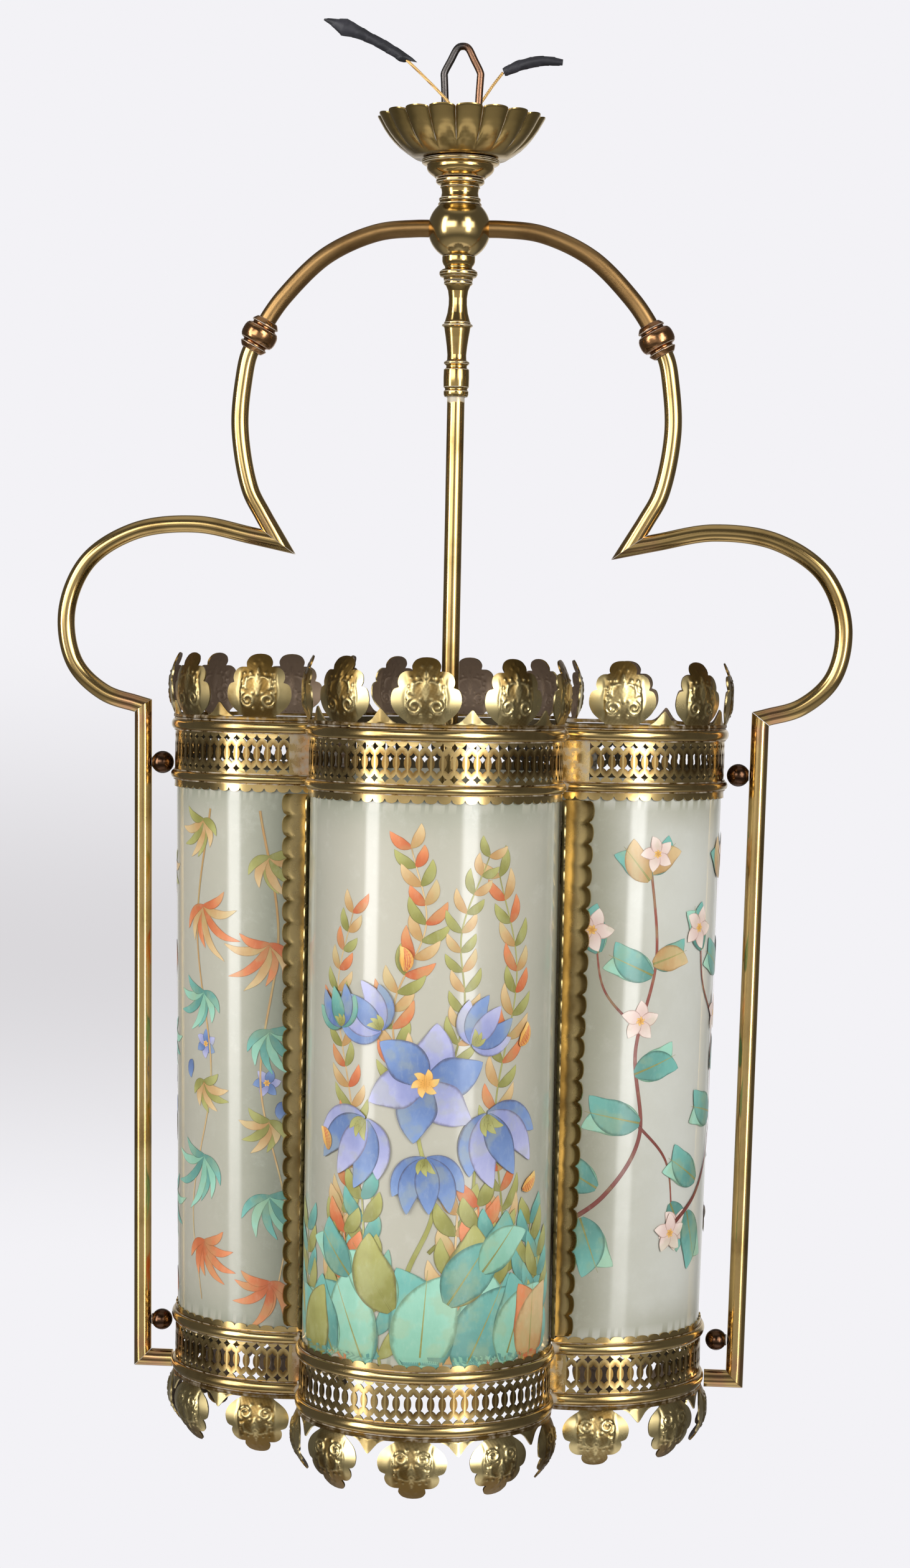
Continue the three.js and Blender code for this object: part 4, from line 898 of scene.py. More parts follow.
def leaf_outline():
    """The right half of a leaf, smooth between its notches."""
    half, run = [], []
    for k, (x, z) in enumerate(LEAF_EDGE):
        run.append(Vector((x, z)))
        if k in LEAF_CORNERS and len(run) > 1:
            half += rounded_path(run, 0.9)[:-1] if len(run) > 2 else run[:-1]
            run = [run[-1]]
    return [(p.x, p.y) for p in half] + [(0, LEAF_H)]


def hump(distance, width):
    return math.exp(-((distance / width) ** 2))


def leaf_relief(x, z):
    """How far the casting stands out from the leaf's plain sheet: scrolls, florets and a feather."""
    a = abs(x)
    across, up = a - 5.4, z - 9.6
    turned = (math.atan2(up, across) / (2 * math.pi) + 0.35) % 1
    reach = math.hypot(across, up)
    second = hump(reach - 3.1 - 2.1 * turned, 0.5) * (turned < 0.55)
    relief = 0.7 * max(hump(reach - 1.0 - 2.1 * turned, 0.5), second)
    for place_x, place_z, size in FLORETS:
        relief = max(relief, 0.75 * hump(math.hypot(a - place_x, z - place_z), size))
    curl = abs(math.hypot(a - 2.2, z - 17.4) - 4.4)
    if a > 1.6 and z > 15:
        relief = max(relief, 0.6 * hump(curl, 0.5))
    if 12 < z < 27:
        barbs = 0.5 + 0.5 * math.cos(2 * math.pi * (z - a * 1.2) / 2.0)
        feather = clamp(1 - a / (0.6 + 2.2 * math.sin(math.pi * (z - 12) / 15)))
        relief = max(relief, feather * (0.35 + 0.5 * barbs))
    relief += 0.08 * math.sin(2.6 * x + 1.1 * z) * math.sin(2.9 * z - 0.6 * x) * clamp((10 - a) / 2)
    relief -= 0.4 * hump(a - 9.8 - 0.5 * math.cos(z / 2.2), 0.7) * clamp((z - 2) / 3) * clamp((25 - z) / 3)
    if z > 26:
        relief += 0.4 * hump(math.hypot(a - 2.2, z - 29.2), 0.7) + 0.3 * hump(math.hypot(a, z - 31.4), 0.6)
    return relief


LEAF_HALF = leaf_outline()
LEAF_LOOP = LEAF_HALF + [(-x, z) for x, z in LEAF_HALF[-2::-1]]
LEAF_INNER = [(x * 0.72 + (0.36 if row % 2 else 0), row * 0.66 + 0.4)
              for row in range(51) for x in range(-26, 26)]


def on_border(x, angle):
    """The angle of a leaf's point that lies across from the leaf's middle."""
    return angle + math.degrees(math.atan2(x, STRIP_R))


def leaf_border(node, centre, direction, start, tall, belly):
    """Leaves and points soldered round the cage on a moulded strip; direction is 1 up or -1 down."""
    form = Form()
    profile = [(STRIP_R - 1.6, 0), (STRIP_R - 0.6, 0), (STRIP_R - 0.2, 0.4), (STRIP_R - 0.3, 1.6),
               (STRIP_R - 0.6, 2.0), (STRIP_R - 1.6, 2.0)][::direction]
    ring_round(form, centre, [(r, start + direction * z) for r, z in profile], [(0.55, 0.8, 0)] * 6)
    fine(node, form, [CAST_BRASS])
    points, faces = sheet_of(LEAF_LOOP, [], [p for p in LEAF_INNER if inside_leaf(*p)])
    side = [(11.2, -0.4), (8.6, 0.1), (6.6, 0.9), (4.8, 2.2), (3.2, 4.0), (1.7, 5.8), (0.6, 7.0)]
    tooth_inner = [(x * 0.8, z * 0.8) for z in range(7) for x in range(-7, 8)
                   if abs(x) * 0.8 < 5.4 - z * 0.72]
    tooth_edge = [(-x, z) for x, z in side] + [(0, 7.3)] + side[::-1]
    tooth_points, tooth_faces = sheet_of(tooth_edge, [], tooth_inner)
    leaves = Form()
    for lobe in range(4):
        for angle in (-80, -40, 0, 40, 80):
            bent = chance.uniform(-0.5, 0.5)
            made, worn = [], []
            for x, z in points:
                t = z / LEAF_H
                side = max(0.0, abs(x) - 9)
                relief = leaf_relief(x, z)
                dish = 0.05 * side * side
                depth = STRIP_R - 0.7 + (belly[0] * t - belly[1] * t * t) - 0.11 * side + dish * 0.2
                depth = min(depth - 0.004 * x * x + relief * 0.8 + bent * t * t, LEAF_REACH)
                z = start + direction * (1.0 + z * tall)
                made.append(lobe_point(lobe, centre, depth, on_border(x, angle), z))
                panel = clamp((10.8 - abs(x)) / 3.5)
                hollow = clamp(0.5 - relief)
                browning = 0.15 + panel * (0.02 + 0.55 * hollow) + 0.4 * t**3
                worn.append((0.35 * hollow * panel * clamp(1 - t), browning, 0))
            leaves.add(made, [f[::direction] for f in faces], 0, worn)
        for angle in (-60, -20, 20, 60):
            made = []
            for x, z in tooth_points:
                out = STRIP_R - 0.5 + 0.5 * (1 - min(1, abs(x) / 5)) + 0.06 * z
                made.append(lobe_point(lobe, centre, out, on_border(x, angle), start + direction * (1.9 + z)))
            leaves.add(made, [f[::direction] for f in tooth_faces], 0, [(0.2, 0.3, 0)] * len(made))
    piece(node + ".leaves", leaves, [CAST_BRASS, LEAF_BACK], stands_for=(node,), thick=0.9, closed=False,
          crease=60, back=1)


def inside_leaf(x, z):
    """Whether a point is well inside the leaf's outline."""
    a = abs(x)
    for (x0, z0), (x1, z1) in zip(LEAF_HALF, LEAF_HALF[1:]):
        if min(z0, z1) <= z <= max(z0, z1) and z0 != z1:
            if a > lerp(x0, x1, (z - z0) / (z1 - z0)) - 0.5:
                return False
    return 0.4 < z < LEAF_H - 0.6


def leaf_borders():
    leaf_border("leaf_crest", CENTRE_TOP, 1, 1.7, 1.01, (16.5, 18))
    leaf_border("leaf_fringe", CENTRE_FOOT, -1, -355.8, 0.92, (18.5, 24))


# Corner posts, each a bent strip with scalloped edges outside the glass
def post(corner):
    form = Form()
    radius = GLASS_R + SEAT + 0.8
    z0, z1 = RIM_Z + SEAT, APRON_Z - SEAT
    count = round((z1 - z0) / 11.2)
    rises = [math.sqrt(max(0.0, 1 - (j / 5 - 1) ** 2)) for j in range(10)]
    levels = [((z1 - z0) * (k + j / 10) / count + z0, rises[j]) for k in range(count) for j in range(10)]
    levels.append((z1, 0))
    worn = [(0.25 if k == 0 else 0, 0.35 - 0.3 * (k / 9), 0.25 if k < 2 else 0) for k in range(10)]
    for side in (1, -1):
        lobe = (corner if side > 0 else corner + 1) % 4
        rows = []
        for z, rise in levels:
            centre = centre_at(z)
            end = end_angle(centre, radius) - 0.02
            row = []
            for k in range(10):
                curl = clamp((k / 9 - 0.72) / 0.28) ** 2
                angle = lerp(end, 91.3 + 2.1 * (1 - rise), k / 9)
                row.append(lobe_point(lobe, centre, radius + curl * 1.5, side * angle, z))
            rows.append(row)
        form.grid(rows, [worn] * len(rows))
    return form


CLIP_BEND = ((61.3, 94.2), (61.5, 96), (61.9, 98.6), (63.5, 99.6), (65, 100.6))


def posts():
    for corner, word in enumerate(("back_right", "back_left", "front_left", "front_right")):
        fine(f"corner_post_{word}", post(corner), [POST_BRASS], thick=0.8)
        clips = Form()
        for low, high in ((-80, -52.6), (-251, -235), (-302, -259)):
            for side in (1, -1):
                lobe = (corner if side > 0 else corner + 1) % 4
                rows = [[lobe_point(lobe, centre_at(z), r, side * a, z) for r, a in CLIP_BEND]
                        for z in (low, (low + high) / 2, high)]
                clips.grid(rows, [[(0.2, 0.6, 0)] * 5] * 3)
        piece(f"glass_clips_{word}", clips, [INNER_BRASS], thick=0.8)


# Glass
GLASS_LAP = 7


def glass():
    angles = [lerp(-PANEL_END, PANEL_END, k / 112) for k in range(113)]
    levels = [lerp(RIM_Z - GLASS_LAP, APRON_Z + GLASS_LAP, k / 24) for k in range(25)]
    rim = [[(0, clamp(max(abs(a) / PANEL_END, abs(2 * k / 24 - 1) ** 3) ** 3), 0) for k in range(25)]
           for a in angles]
    for lobe, word in enumerate(LOBES):
        outer, inner = [[[lobe_point(lobe, centre_at(z), r, a, z) for z in levels] for a in angles]
                        for r in (GLASS_R, GLASS_R - GLASS_T)]
        form = Form()
        form.grid(outer, rim)
        form.grid([row[::-1] for row in inner], rim)
        for k in (0, -1):
            form.grid([[a, b] for a, b in zip(outer[k], inner[k])], finish=1)
        for k in (0, -1):
            form.grid([[a[k], b[k]] for a, b in zip(outer, inner)], finish=1)
        # The right lobe's glass takes the paler copy, with painted light in its colour.
        finish = PAINTED_LIT_GLASS if word == "right" else GLASS
        fine(f"glass_panel_{word}", form, [finish, GLASS_EDGE], slot="frosted_glass", crease=50)


# Painting on the glass: strokes laid over one another, drawn in (across, height) millimetres on each lobe
def paint(name, root, tip, rim):
    """A painted colour from root to tip, with a thin drawn edge."""
    f = new_finish(name)
    strokes = f.clouds(300, 4, stretch=(1, 1, 0.5), roughness=0.65)
    broad = f.clouds(75, 4)
    along = f.ease(f.wear(1) + strokes * 0.25 + broad * 0.8 - 0.55, 0.0, 1.0)
    colour = f.mix(shade(*root), shade(*tip), along)
    colour = f.mix(colour, shade(196, 200, 180), f.ease(strokes, 0.5, 0.8) * 0.14)
    colour = f.mix(colour, shade(150, 152, 104), f.ease(broad, 0.48, 0.62) * 0.3)
    edge = 1 - f.ease(f.wear(0) + strokes * 0.2, 0.16, 0.36)
    colour = f.mix(colour, shade(*rim), edge * 0.6)
    return f.skin(colour, 0.38 + strokes * 0.15, f.bump(strokes, 0.05), Coat_Weight=0.4, Coat_Roughness=0.12,
                  Alpha=f.ease(strokes + f.wear(0) * 0.8, 0.2, 0.8) * 0.3 + 0.66)


BLUE, LILAC, TEAL, MINT, OLIVE, ORANGE, OCHRE, TWIG, PALE, YOLK = range(10)
PAINTS = [paint(*row) for row in (
    ("cornflower_paint", (84, 106, 150), (118, 142, 184), (78, 70, 84)),
    ("lilac_paint", (128, 134, 176), (172, 172, 204), (92, 84, 100)),
    ("teal_paint", (84, 132, 122), (112, 172, 160), (66, 96, 80)),
    ("mint_paint", (122, 170, 146), (152, 200, 178), (92, 116, 86)),
    ("olive_paint", (124, 122, 62), (166, 164, 98), (98, 86, 48)),
    ("orange_paint", (176, 92, 54), (212, 134, 88), (140, 88, 52)),
    ("ochre_paint", (170, 132, 82), (206, 178, 132), (150, 114, 70)),
    ("twig_paint", (108, 52, 44), (138, 72, 58), (80, 44, 36)),
    ("pale_paint", (206, 178, 168), (224, 208, 196), (156, 110, 92)),
    ("yolk_paint", (206, 150, 70), (226, 186, 110), (160, 100, 52)))]


STROKE_STEP = 1.4
COAT = 0.008


class Picture:
    """The painting on one lobe. Each stroke lies a little over the one before."""

    def __init__(self, lobe):
        self.lobe, self.form, self.layer = lobe, Form(), 0

    def stroke(self, spine, half_width, colour, over=0):
        """A leaf, petal or stem: a spine of points and its half width along a 0 to 1 share."""
        ends = [Vector((x, z, 0)) for x, z in spine]
        count = max(4, math.ceil((ends[-1] - ends[0]).length / STROKE_STEP))
        straight = [ends[0].lerp(ends[1], k / count) for k in range(count + 1)]
        line = rounded_path(ends, STROKE_STEP) if len(ends) > 2 else straight
        halves = max(1, math.ceil(max(half_width(k / 8) for k in range(9)) / STROKE_STEP))
        lift = 0.05 + COAT * (self.layer + over)
        rows, wears = [], []
        for i, point in enumerate(line):
            share = i / (len(line) - 1)
            along = tangent(line, i)
            side = Vector((-along.y, along.x, 0))
            width = half_width(share)
            row, worn = [], []
            for k in range(-halves, halves + 1):
                x, z, _ = point + side * (width * k / halves)
                radius = GLASS_R + (lift if z > RIM_Z + 3 else min(lift, 0.3))
                row.append(lobe_point(self.lobe, centre_at(z), radius, math.degrees(x / GLASS_R), z))
                edge = min(1.5 * (1 - abs(k) / halves), 6 * share + 0.3, 6 * (1 - share) + 0.1)
                worn.append((clamp(edge), share, 0))
            rows.append(row)
            wears.append(worn)
        self.form.grid(rows, wears, finish=colour)

    def stem(self, spine, width, colour):
        self.stroke(spine, lambda t: width * (1 - 0.45 * t), colour)
        self.layer += 1

    def leaf(self, x, z, heading, length, half, colour, bow=0.15, over=0):
        """A pointed leaf or petal from its foot; heading is degrees from straight up, to the right."""
        ahead, aside = Vector((sin(heading), cos(heading))), Vector((cos(heading), -sin(heading)))
        spine = [Vector((x, z)) + ahead * (length * t) + aside * (length * bow * math.sin(math.pi * t))
                 for t in (0, 0.33, 0.67, 1)]

        def swelling(t):
            return half * math.sin(math.pi * min(1, t * 0.96 + 0.04)) ** 0.8 * (1.15 - 0.35 * t) + 0.05

        self.stroke([tuple(p) for p in spine], swelling, colour, over)

    def heart(self, x, z, heading, length, colour, other):
        """A heart shaped leaf: two full halves and a midrib."""
        for side in (-1, 1):
            self.leaf(x, z, heading + 16 * side, length * 0.93, length * 0.27,
                      colour if side < 0 else other, -0.12 * side, side > 0)
        tip = (x + sin(heading) * length * 0.9, z + cos(heading) * length * 0.9)
        self.stroke([(x, z), tip], lambda t: 0.5 * (1 - t) + 0.08, OLIVE, 2)
        self.layer += 3

    def bell(self, x, z, heading, size, main, other):
        """A bellflower seen from the side: a cup of petals with turned-out points."""
        petals = ((-44, 0.86, other), (44, 0.86, other), (-20, 1.0, main), (22, 1.0, main), (0, 0.94, other))
        for k, (turn, reach, colour) in enumerate(petals):
            bow = 0.1 * (turn > 0) - 0.1 * (turn < 0)
            self.leaf(x, z, heading + turn, size * reach, size * 0.21, colour, bow, k)
        for turn in (-30, 0, 30):
            self.leaf(x, z, heading + turn, size * 0.3, size * 0.06, OLIVE, over=5)
        self.layer += 6

    def open_flower(self, x, z, size, main, other, petals=5, turned=0):
        for k in range(petals):
            self.leaf(x, z, turned + 360 * k / petals, size, size * 0.34, main if k % 2 else other, 0.06, k)
        for k in range(6):
            self.leaf(x, z, turned + 60 * k, size * 0.24, size * 0.07, YOLK, over=petals)
        self.layer += petals + 1

    def sprig(self, spine, width, stem_colour, leaf_length, leaf_half, colours, gap=9.0, spread=52):
        """A stem with pairs of leaflets."""
        self.stem(spine, width, stem_colour)
        line = rounded_path([Vector((x, z, 0)) for x, z in spine], gap)
        for i in range(1, len(line)):
            along = tangent(line, i)
            heading = math.degrees(math.atan2(along.x, along.y))
            for side in (-1, 1):
                lean = heading + side * (spread + chance.uniform(-8, 8))
                grown = leaf_length * (1 - 0.35 * i / len(line)) * chance.uniform(0.85, 1.1)
                self.leaf(line[i].x, line[i].y, lean, grown, leaf_half,
                          colours[(i + (side > 0)) % len(colours)], 0.12 * side, 2 * (i % 2) + (side > 0))
        self.layer += 4

    def done(self, name):
        return piece(name, self.form, PAINTS, slot="frosted_glass", closed=False, crease=180)


def front_painting():
    """Blue and lilac bellflowers among tall sprigs and heart shaped leaves, on the front lobe."""
    p = Picture(3)
    p.sprig([(-34, -330), (-42, -262), (-36, -200), (-48, -132), (-38, -92)], 0.7, OCHRE, 19, 2.6,
            (OCHRE, ORANGE, OLIVE), 10, 34)
    p.sprig([(30, -330), (46, -262), (40, -190), (52, -120), (40, -72)], 0.7, OLIVE, 22, 2.8,
            (OLIVE, ORANGE, OCHRE), 11, 32)
    p.sprig([(-4, -196), (-14, -140), (2, -96), (-6, -58)], 0.6, OCHRE, 20, 2.9,
            (ORANGE, OCHRE, OLIVE), 10, 36)
    p.sprig([(10, -190), (22, -140), (20, -100), (34, -62)], 0.6, OLIVE, 17, 2.4, (OLIVE, OCHRE), 9, 36)
    p.stem([(4, -330), (-6, -280), (8, -240), (0, -200), (6, -186)], 1.6, OLIVE)
    p.stem([(-2, -290), (-22, -262), (-24, -224), (-30, -206)], 1.1, OLIVE)
    p.stem([(6, -262), (26, -240), (30, -214), (36, -198)], 1.1, OLIVE)
    for x, heading, length, colour in (
            (-70, -6, 70, OLIVE), (-52, 10, 84, OCHRE), (-16, -12, 92, OLIVE), (12, 8, 86, OCHRE),
            (40, -8, 90, ORANGE), (60, 6, 78, OLIVE), (76, -4, 60, TEAL), (-38, -2, 74, ORANGE),
            (28, 14, 72, TEAL)):
        spine = [(x, -328), (x + 0.5 * length * sin(heading), -328 + 0.5 * length),
                 (x + length * sin(heading) * 0.7, -328 + length)]
        p.sprig(spine, 0.9, colour, 26, 4.2, (colour, OLIVE if colour != OLIVE else TEAL), 11, 30)
    for x, z, heading, length, colours in (
            (-26, -322, -24, 56, (TEAL, MINT)), (24, -324, 26, 60, (MINT, TEAL)),
            (2, -326, 4, 62, (TEAL, MINT)), (-46, -318, -30, 44, (MINT, TEAL)),
            (48, -320, 20, 50, (TEAL, MINT)), (-12, -292, -34, 44, (MINT, OLIVE)),
            (16, -288, 34, 46, (OLIVE, TEAL)), (-60, -326, -8, 46, (TEAL, OLIVE)),
            (66, -324, 4, 48, (ORANGE, OCHRE)), (34, -272, 40, 36, (TEAL, MINT)),
            (-36, -276, -44, 34, (MINT, TEAL))):
        p.heart(x, z, heading, length, *colours)
    p.open_flower(3, -176, 31, BLUE, LILAC, 6, 10)
    p.bell(-28, -196, -150, 36, BLUE, LILAC)
    p.bell(35, -192, 152, 38, LILAC, BLUE)
    p.bell(-20, -150, -48, 27, LILAC, BLUE)
    p.bell(26, -156, 40, 26, BLUE, LILAC)
    p.bell(-44, -150, -16, 22, BLUE, TEAL)
    p.bell(4, -214, 176, 30, BLUE, BLUE)
    for x, z, heading in ((-52, -214, -30), (54, -158, 24), (-8, -120, -12), (58, -232, 48)):
        p.leaf(x, z, heading, 13, 3.6, YOLK)
        p.leaf(x, z, heading + 8, 12, 2, ORANGE)
    p.done("front_painting")


def spray_painting():
    """Drooping sprays of small leaves, each fanned from a point on its stem, on the left lobe."""
    p = Picture(2)
    fans = ((-66, (OLIVE, OCHRE), 24), (-112, (ORANGE, OCHRE), 30), (-158, (TEAL, MINT), 27),
            (-206, (OLIVE, OCHRE), 20), (-246, (TEAL, MINT), 32), (-292, (ORANGE, ORANGE), 26))
    blades = ((172, 0.8), (150, 1), (124, 1), (96, 0.86), (68, 0.62), (-160, 0.7), (-134, 0.6))
    for k, (x, lift) in enumerate(((-92, 0), (-40, 21), (8, -9), (52, 14), (98, -4))):
        sway = 8 if k % 2 else -7
        spine = [(x + sway, -46), (x - sway * 0.4, -110), (x + sway, -190), (x - sway, -262), (x, -310)]
        p.stem(spine, 0.7, OCHRE)
        for j, (z, pair, size) in enumerate(fans):
            lean = -1 if (j + k) % 2 else 1
            for part, (turn, share) in enumerate(blades):
                p.leaf(x + sway * 0.3, z + lift, lean * (turn + chance.uniform(-7, 7)),
                       size * share * chance.uniform(0.9, 1.1), 2.5, pair[part % 2], 0.16 * lean, part)
        p.layer = 8
        p.open_flower(x + sway * 0.5, -186 + lift, 8, BLUE, LILAC, 6, 20 * k)
        p.leaf(x - sway, -196 + lift, 160 + 10 * k, 10, 3.2, BLUE)
    p.done("left_painting")


def twig_painting():
    """A red-brown twig with pale blossom and mint leaves, on the right lobe."""
    p = Picture(0)
    leaves = ((-22, -256, 160, 34), (-14, -240, -60, 32), (8, -206, -78, 34), (4, -180, 70, 30),
              (12, -128, -66, 30), (12, -122, 74, 26), (30, -250, 150, 30), (-18, -116, -20, 28),
              (8, -74, 44, 24), (8, -78, -40, 26))
    flowers = ((6, -152, 11), (-22, -104, 12), (34, -264, 12), (12, -64, 10), (-36, -266, 11))
    twigs = (([(-34, -262), (-10, -244), (8, -214), (4, -168), (14, -120), (8, -66)], 1.3),
             ([(6, -206), (26, -228), (32, -258)], 0.9), ([(6, -158), (-14, -136), (-20, -108)], 0.8))
    for shift in (-80, -14, 52):
        for spine, width in twigs:
            p.stem([(shift + x, z) for x, z in spine], width, TWIG)
        for x, z, heading, length in leaves:
            p.heart(shift + x, z, heading, length, *((MINT, TEAL) if length > 27 else (TEAL, OCHRE)))
        for k, (x, z, size) in enumerate(flowers):
            p.open_flower(shift + x, z, size, PALE, PALE, 5, 17 * k)
    p.done("right_painting")


def poppy_painting():
    """Orange poppies over sage and ochre leaves, on the back lobe."""
    p = Picture(1)
    for k, (x, top) in enumerate(((-52, -150), (-18, -92), (20, -130), (54, -84))):
        p.stem([(x * 0.5, -326), (x * 0.8 + 6, -240), (x, top)], 1.2, OLIVE)
        p.open_flower(x, top, 21, ORANGE, YOLK, 6, 25 * k)
        spine = [(x, -326), (x + 10, -270), (x - 4, -214)]
        p.sprig(spine, 0.8, OCHRE, 24, 3.4, (TEAL, OCHRE, MINT), 10, 44)
    for x, heading in ((-60, -12), (-34, 8), (0, -6), (30, 12), (62, -4)):
        p.heart(x, -324, heading, 50, TEAL if x < 0 else MINT, OLIVE)
    p.done("back_painting")


def paintings():
    front_painting()
    spray_painting()
    twig_painting()
    poppy_painting()


# Hanging loop, leads and taped ends
PIVOT_Z = 321.351
WIRE_R = 2.0


def loop():
    crest = PIVOT_Z + 45.2
    half = [(9.2, PIVOT_Z + 0.5), (9.1, PIVOT_Z + 14), (9.8, crest - 16.6), (9.9, crest - 15),
            (9.3, crest - 13.2), (6.3, crest - 7.4), (3.3, crest - 1.6), (1.8, crest - 0.3)]
    form = Form()
    bow = upright([(-x, z) for x, z in half] + [(0, crest)] + half[::-1])
    tube(form, rounded_path(bow, 1.0), WIRE_R, 24)
    for side in (1, -1):
        bend, cap = [upright([(side * x, PIVOT_Z + z) for x, z in run]) for run in (
            ((9.2, 2.4), (9.15, 0.9), (8.6, 0.15), (7.4, 0), (4.3, 0)),
            ((9.2, 2.4), (9.2, -0.4), (9.2, -1.9)))]
        tube(form, rounded_path(bend, 0.5), WIRE_R - 0.02, 24)
        tube(form, cap, lambda t: WIRE_R * math.sqrt(max(0.02, 1 - t**4)), 24)
    fine("hanging_loop", form, [STEEL], slot="steel_wire", body="loop")


LEAD_R = 0.8
LEADS = {
    "left": [(-0.6, -3.4, 320.7), (-2.4, -6, 327.7), (-6.4, -8.5, 334.7), (-12, -8.8, 340.7),
             (-20, -7, 348.7), (-30, -5, 358.2)],
    "right": [(0.6, 3.4, 320.7), (3.4, 6.4, 328.2), (7.4, 8.8, 334.7), (11.5, 9.4, 340.7), (16, 9, 347.3),
              (21.5, 8, 354.2)]}
# Each taped end: route, girth along it, turns of tape, how far its mouth is drawn, place of its lumps
TAPED = {
    "left": ([(-30, -5, 358.2), (-41, -4.6, 365.2), (-53, -4.2, 371.2), (-64, -4, 375.7), (-75, -4, 379.7)],
             [(0, 1.5), (0.05, 2.3), (0.2, 2.2), (0.5, 2.4), (0.62, 2.9), (0.72, 3.7), (0.76, 3.9),
              (0.86, 2.2), (0.96, 0.9), (1, 0.3)], 7.5, 5, 3),
    "right": ([(21.5, 8, 354.2), (32, 7.4, 358.3), (43, 6.6, 360.1), (53.5, 6, 359.2)],
              [(0, 1.7), (0.05, 2.2), (0.2, 2.3), (0.55, 2.4), (0.85, 1.9), (1, 1.3)], 5.5, 0, 8)}


def taped(side):
    """Insulating tape wound over the joint at a lead's end: lapped, lumpy and drawn in at both ends."""
    path, girths, turns, drawn, seed = TAPED[side]
    route = rounded_path([Vector(p) for p in path], 0.6)
    start = tangent(route, 0) * SEAT
    rows = []
    across = Vector((0, 1, 0))
    for i, middle in enumerate(route):
        share = i / (len(route) - 1)
        along = tangent(route, i)
        across = (across - along * across.dot(along)).normalized()
        other = along.cross(across)
        for (s0, g0), (s1, g1) in zip(girths, girths[1:]):
            if s0 <= share <= s1:
                girth = lerp(g0, g1, (share - s0) / (s1 - s0))
        ring = []
        for angle in [360 * k / 32 for k in range(32)]:
            lap = 0.2 * ((share * turns + angle / 360) % 1)
            lumps = 0.25 * noise.noise(Vector((share * 6, cos(angle), sin(angle) + seed)))
            r = (girth + lap + lumps) * (0.86 + 0.2 * abs(cos(angle)) ** 3 + 0.2 * abs(sin(angle)) ** 3)
            point = start + middle + across * (r * 0.62 * cos(angle)) + other * (r * 1.12 * sin(angle))
            upper = max(0.0, (point - middle).z / girth)
            ring.append(point - along * (drawn * upper * clamp(1 - share / 0.14)))
        rows.append(ring)
    form = Form()
    form.grid(rows, round_across=True)
    form.cap(rows[0])
    form.cap(rows[-1])
    return fine(f"tape_sleeve_{side}", form, [TAPE], slot="black_tape", crease=28)


def lead(side, y):
    mouth = Vector((0, y, 314.851))
    route = rounded_path([mouth] + [Vector(p) for p in LEADS[side]])
    made = bpy.data.curves.new(f"lead_{side}.fine", "CURVE")
    made.dimensions = "3D"
    made.bevel_depth = LEAD_R / 1000
    made.bevel_resolution = 5
    made.use_fill_caps = True
    line = made.splines.new("POLY")
    line.points.add(len(route) - 1)
    for point, p in zip(line.points, route):
        point.co = (*at(*p), 1)
    made.materials.append(BRAID)
    cord = bpy.data.objects.new(made.name, made)
    scene.collection.objects.link(cord)
    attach(cord, "lantern")
    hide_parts(f"lead_{side}")
    length = sum((b - a).length for a, b in zip(route, route[1:])) / 1000
    sleeve = taped(side)
    tuple(at(*mouth))
    inner = Form()
    tube(inner, [Vector((0, y, z)) for z in (314.5, 200, 80, -64)], LEAD_R, 12)
    piece(f"lead_inside_{side}", inner, [BRAID], slot="lead_sheath", stands_for=(f"lead_{side}",))


# Lampholder and bulb
def lampholder():
    grip = 5.05
    turned_piece("holder_cap", [
        (grip, -44), (6.6, -44), (6.9, -44.6), (6.9, -50.5), (7.4, -51.6), (9.6, -53.4), (12.2, -56.6),
        (13.6, -59.5), (14.1, -62), (14.2, -65), (14.5, -65.4), (14.5, -66.2), (14.1, -66.6), (14.1, -67.4),
        (14.5, -67.8), (14.5, -70), (12, -70), (12, -64), (3.8, -54.3), (3.8, -50.3), (grip, -50.3)],
        72, finish=INNER_BRASS)
    form = Form()
    lathe(form, [(13.3, -77.3), (15.2, -77.3), (16.6, -77.8), (17.4, -78.6), (18.6, -78.7), (19, -79.2),
                 (19, -81.6), (18.5, -82.3), (13.3, -82.3)], 72, soft=0.25)
    for point in form.points:
        spin = math.degrees(math.atan2(point.y, point.x))
        if math.hypot(point.x, point.y) > 18.4:
            knurl = 0.18 * max(0.0, math.cos(math.radians(spin * 36)))
            point.x -= knurl * cos(spin)
            point.y -= knurl * sin(spin)
    fine("holder_ring", form, [INNER_BRASS])
    finishes = {"holder_insert": PORCELAIN, "loop_yoke": TURNED_BRASS}
    for node in ("holder_shell", "holder_insert", "loop_yoke", "cup_nipple", "contact_plunger_right",
                 "contact_plunger_left"):
        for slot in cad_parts[node].material_slots:
            slot.material = finishes.get(node, INNER_BRASS)


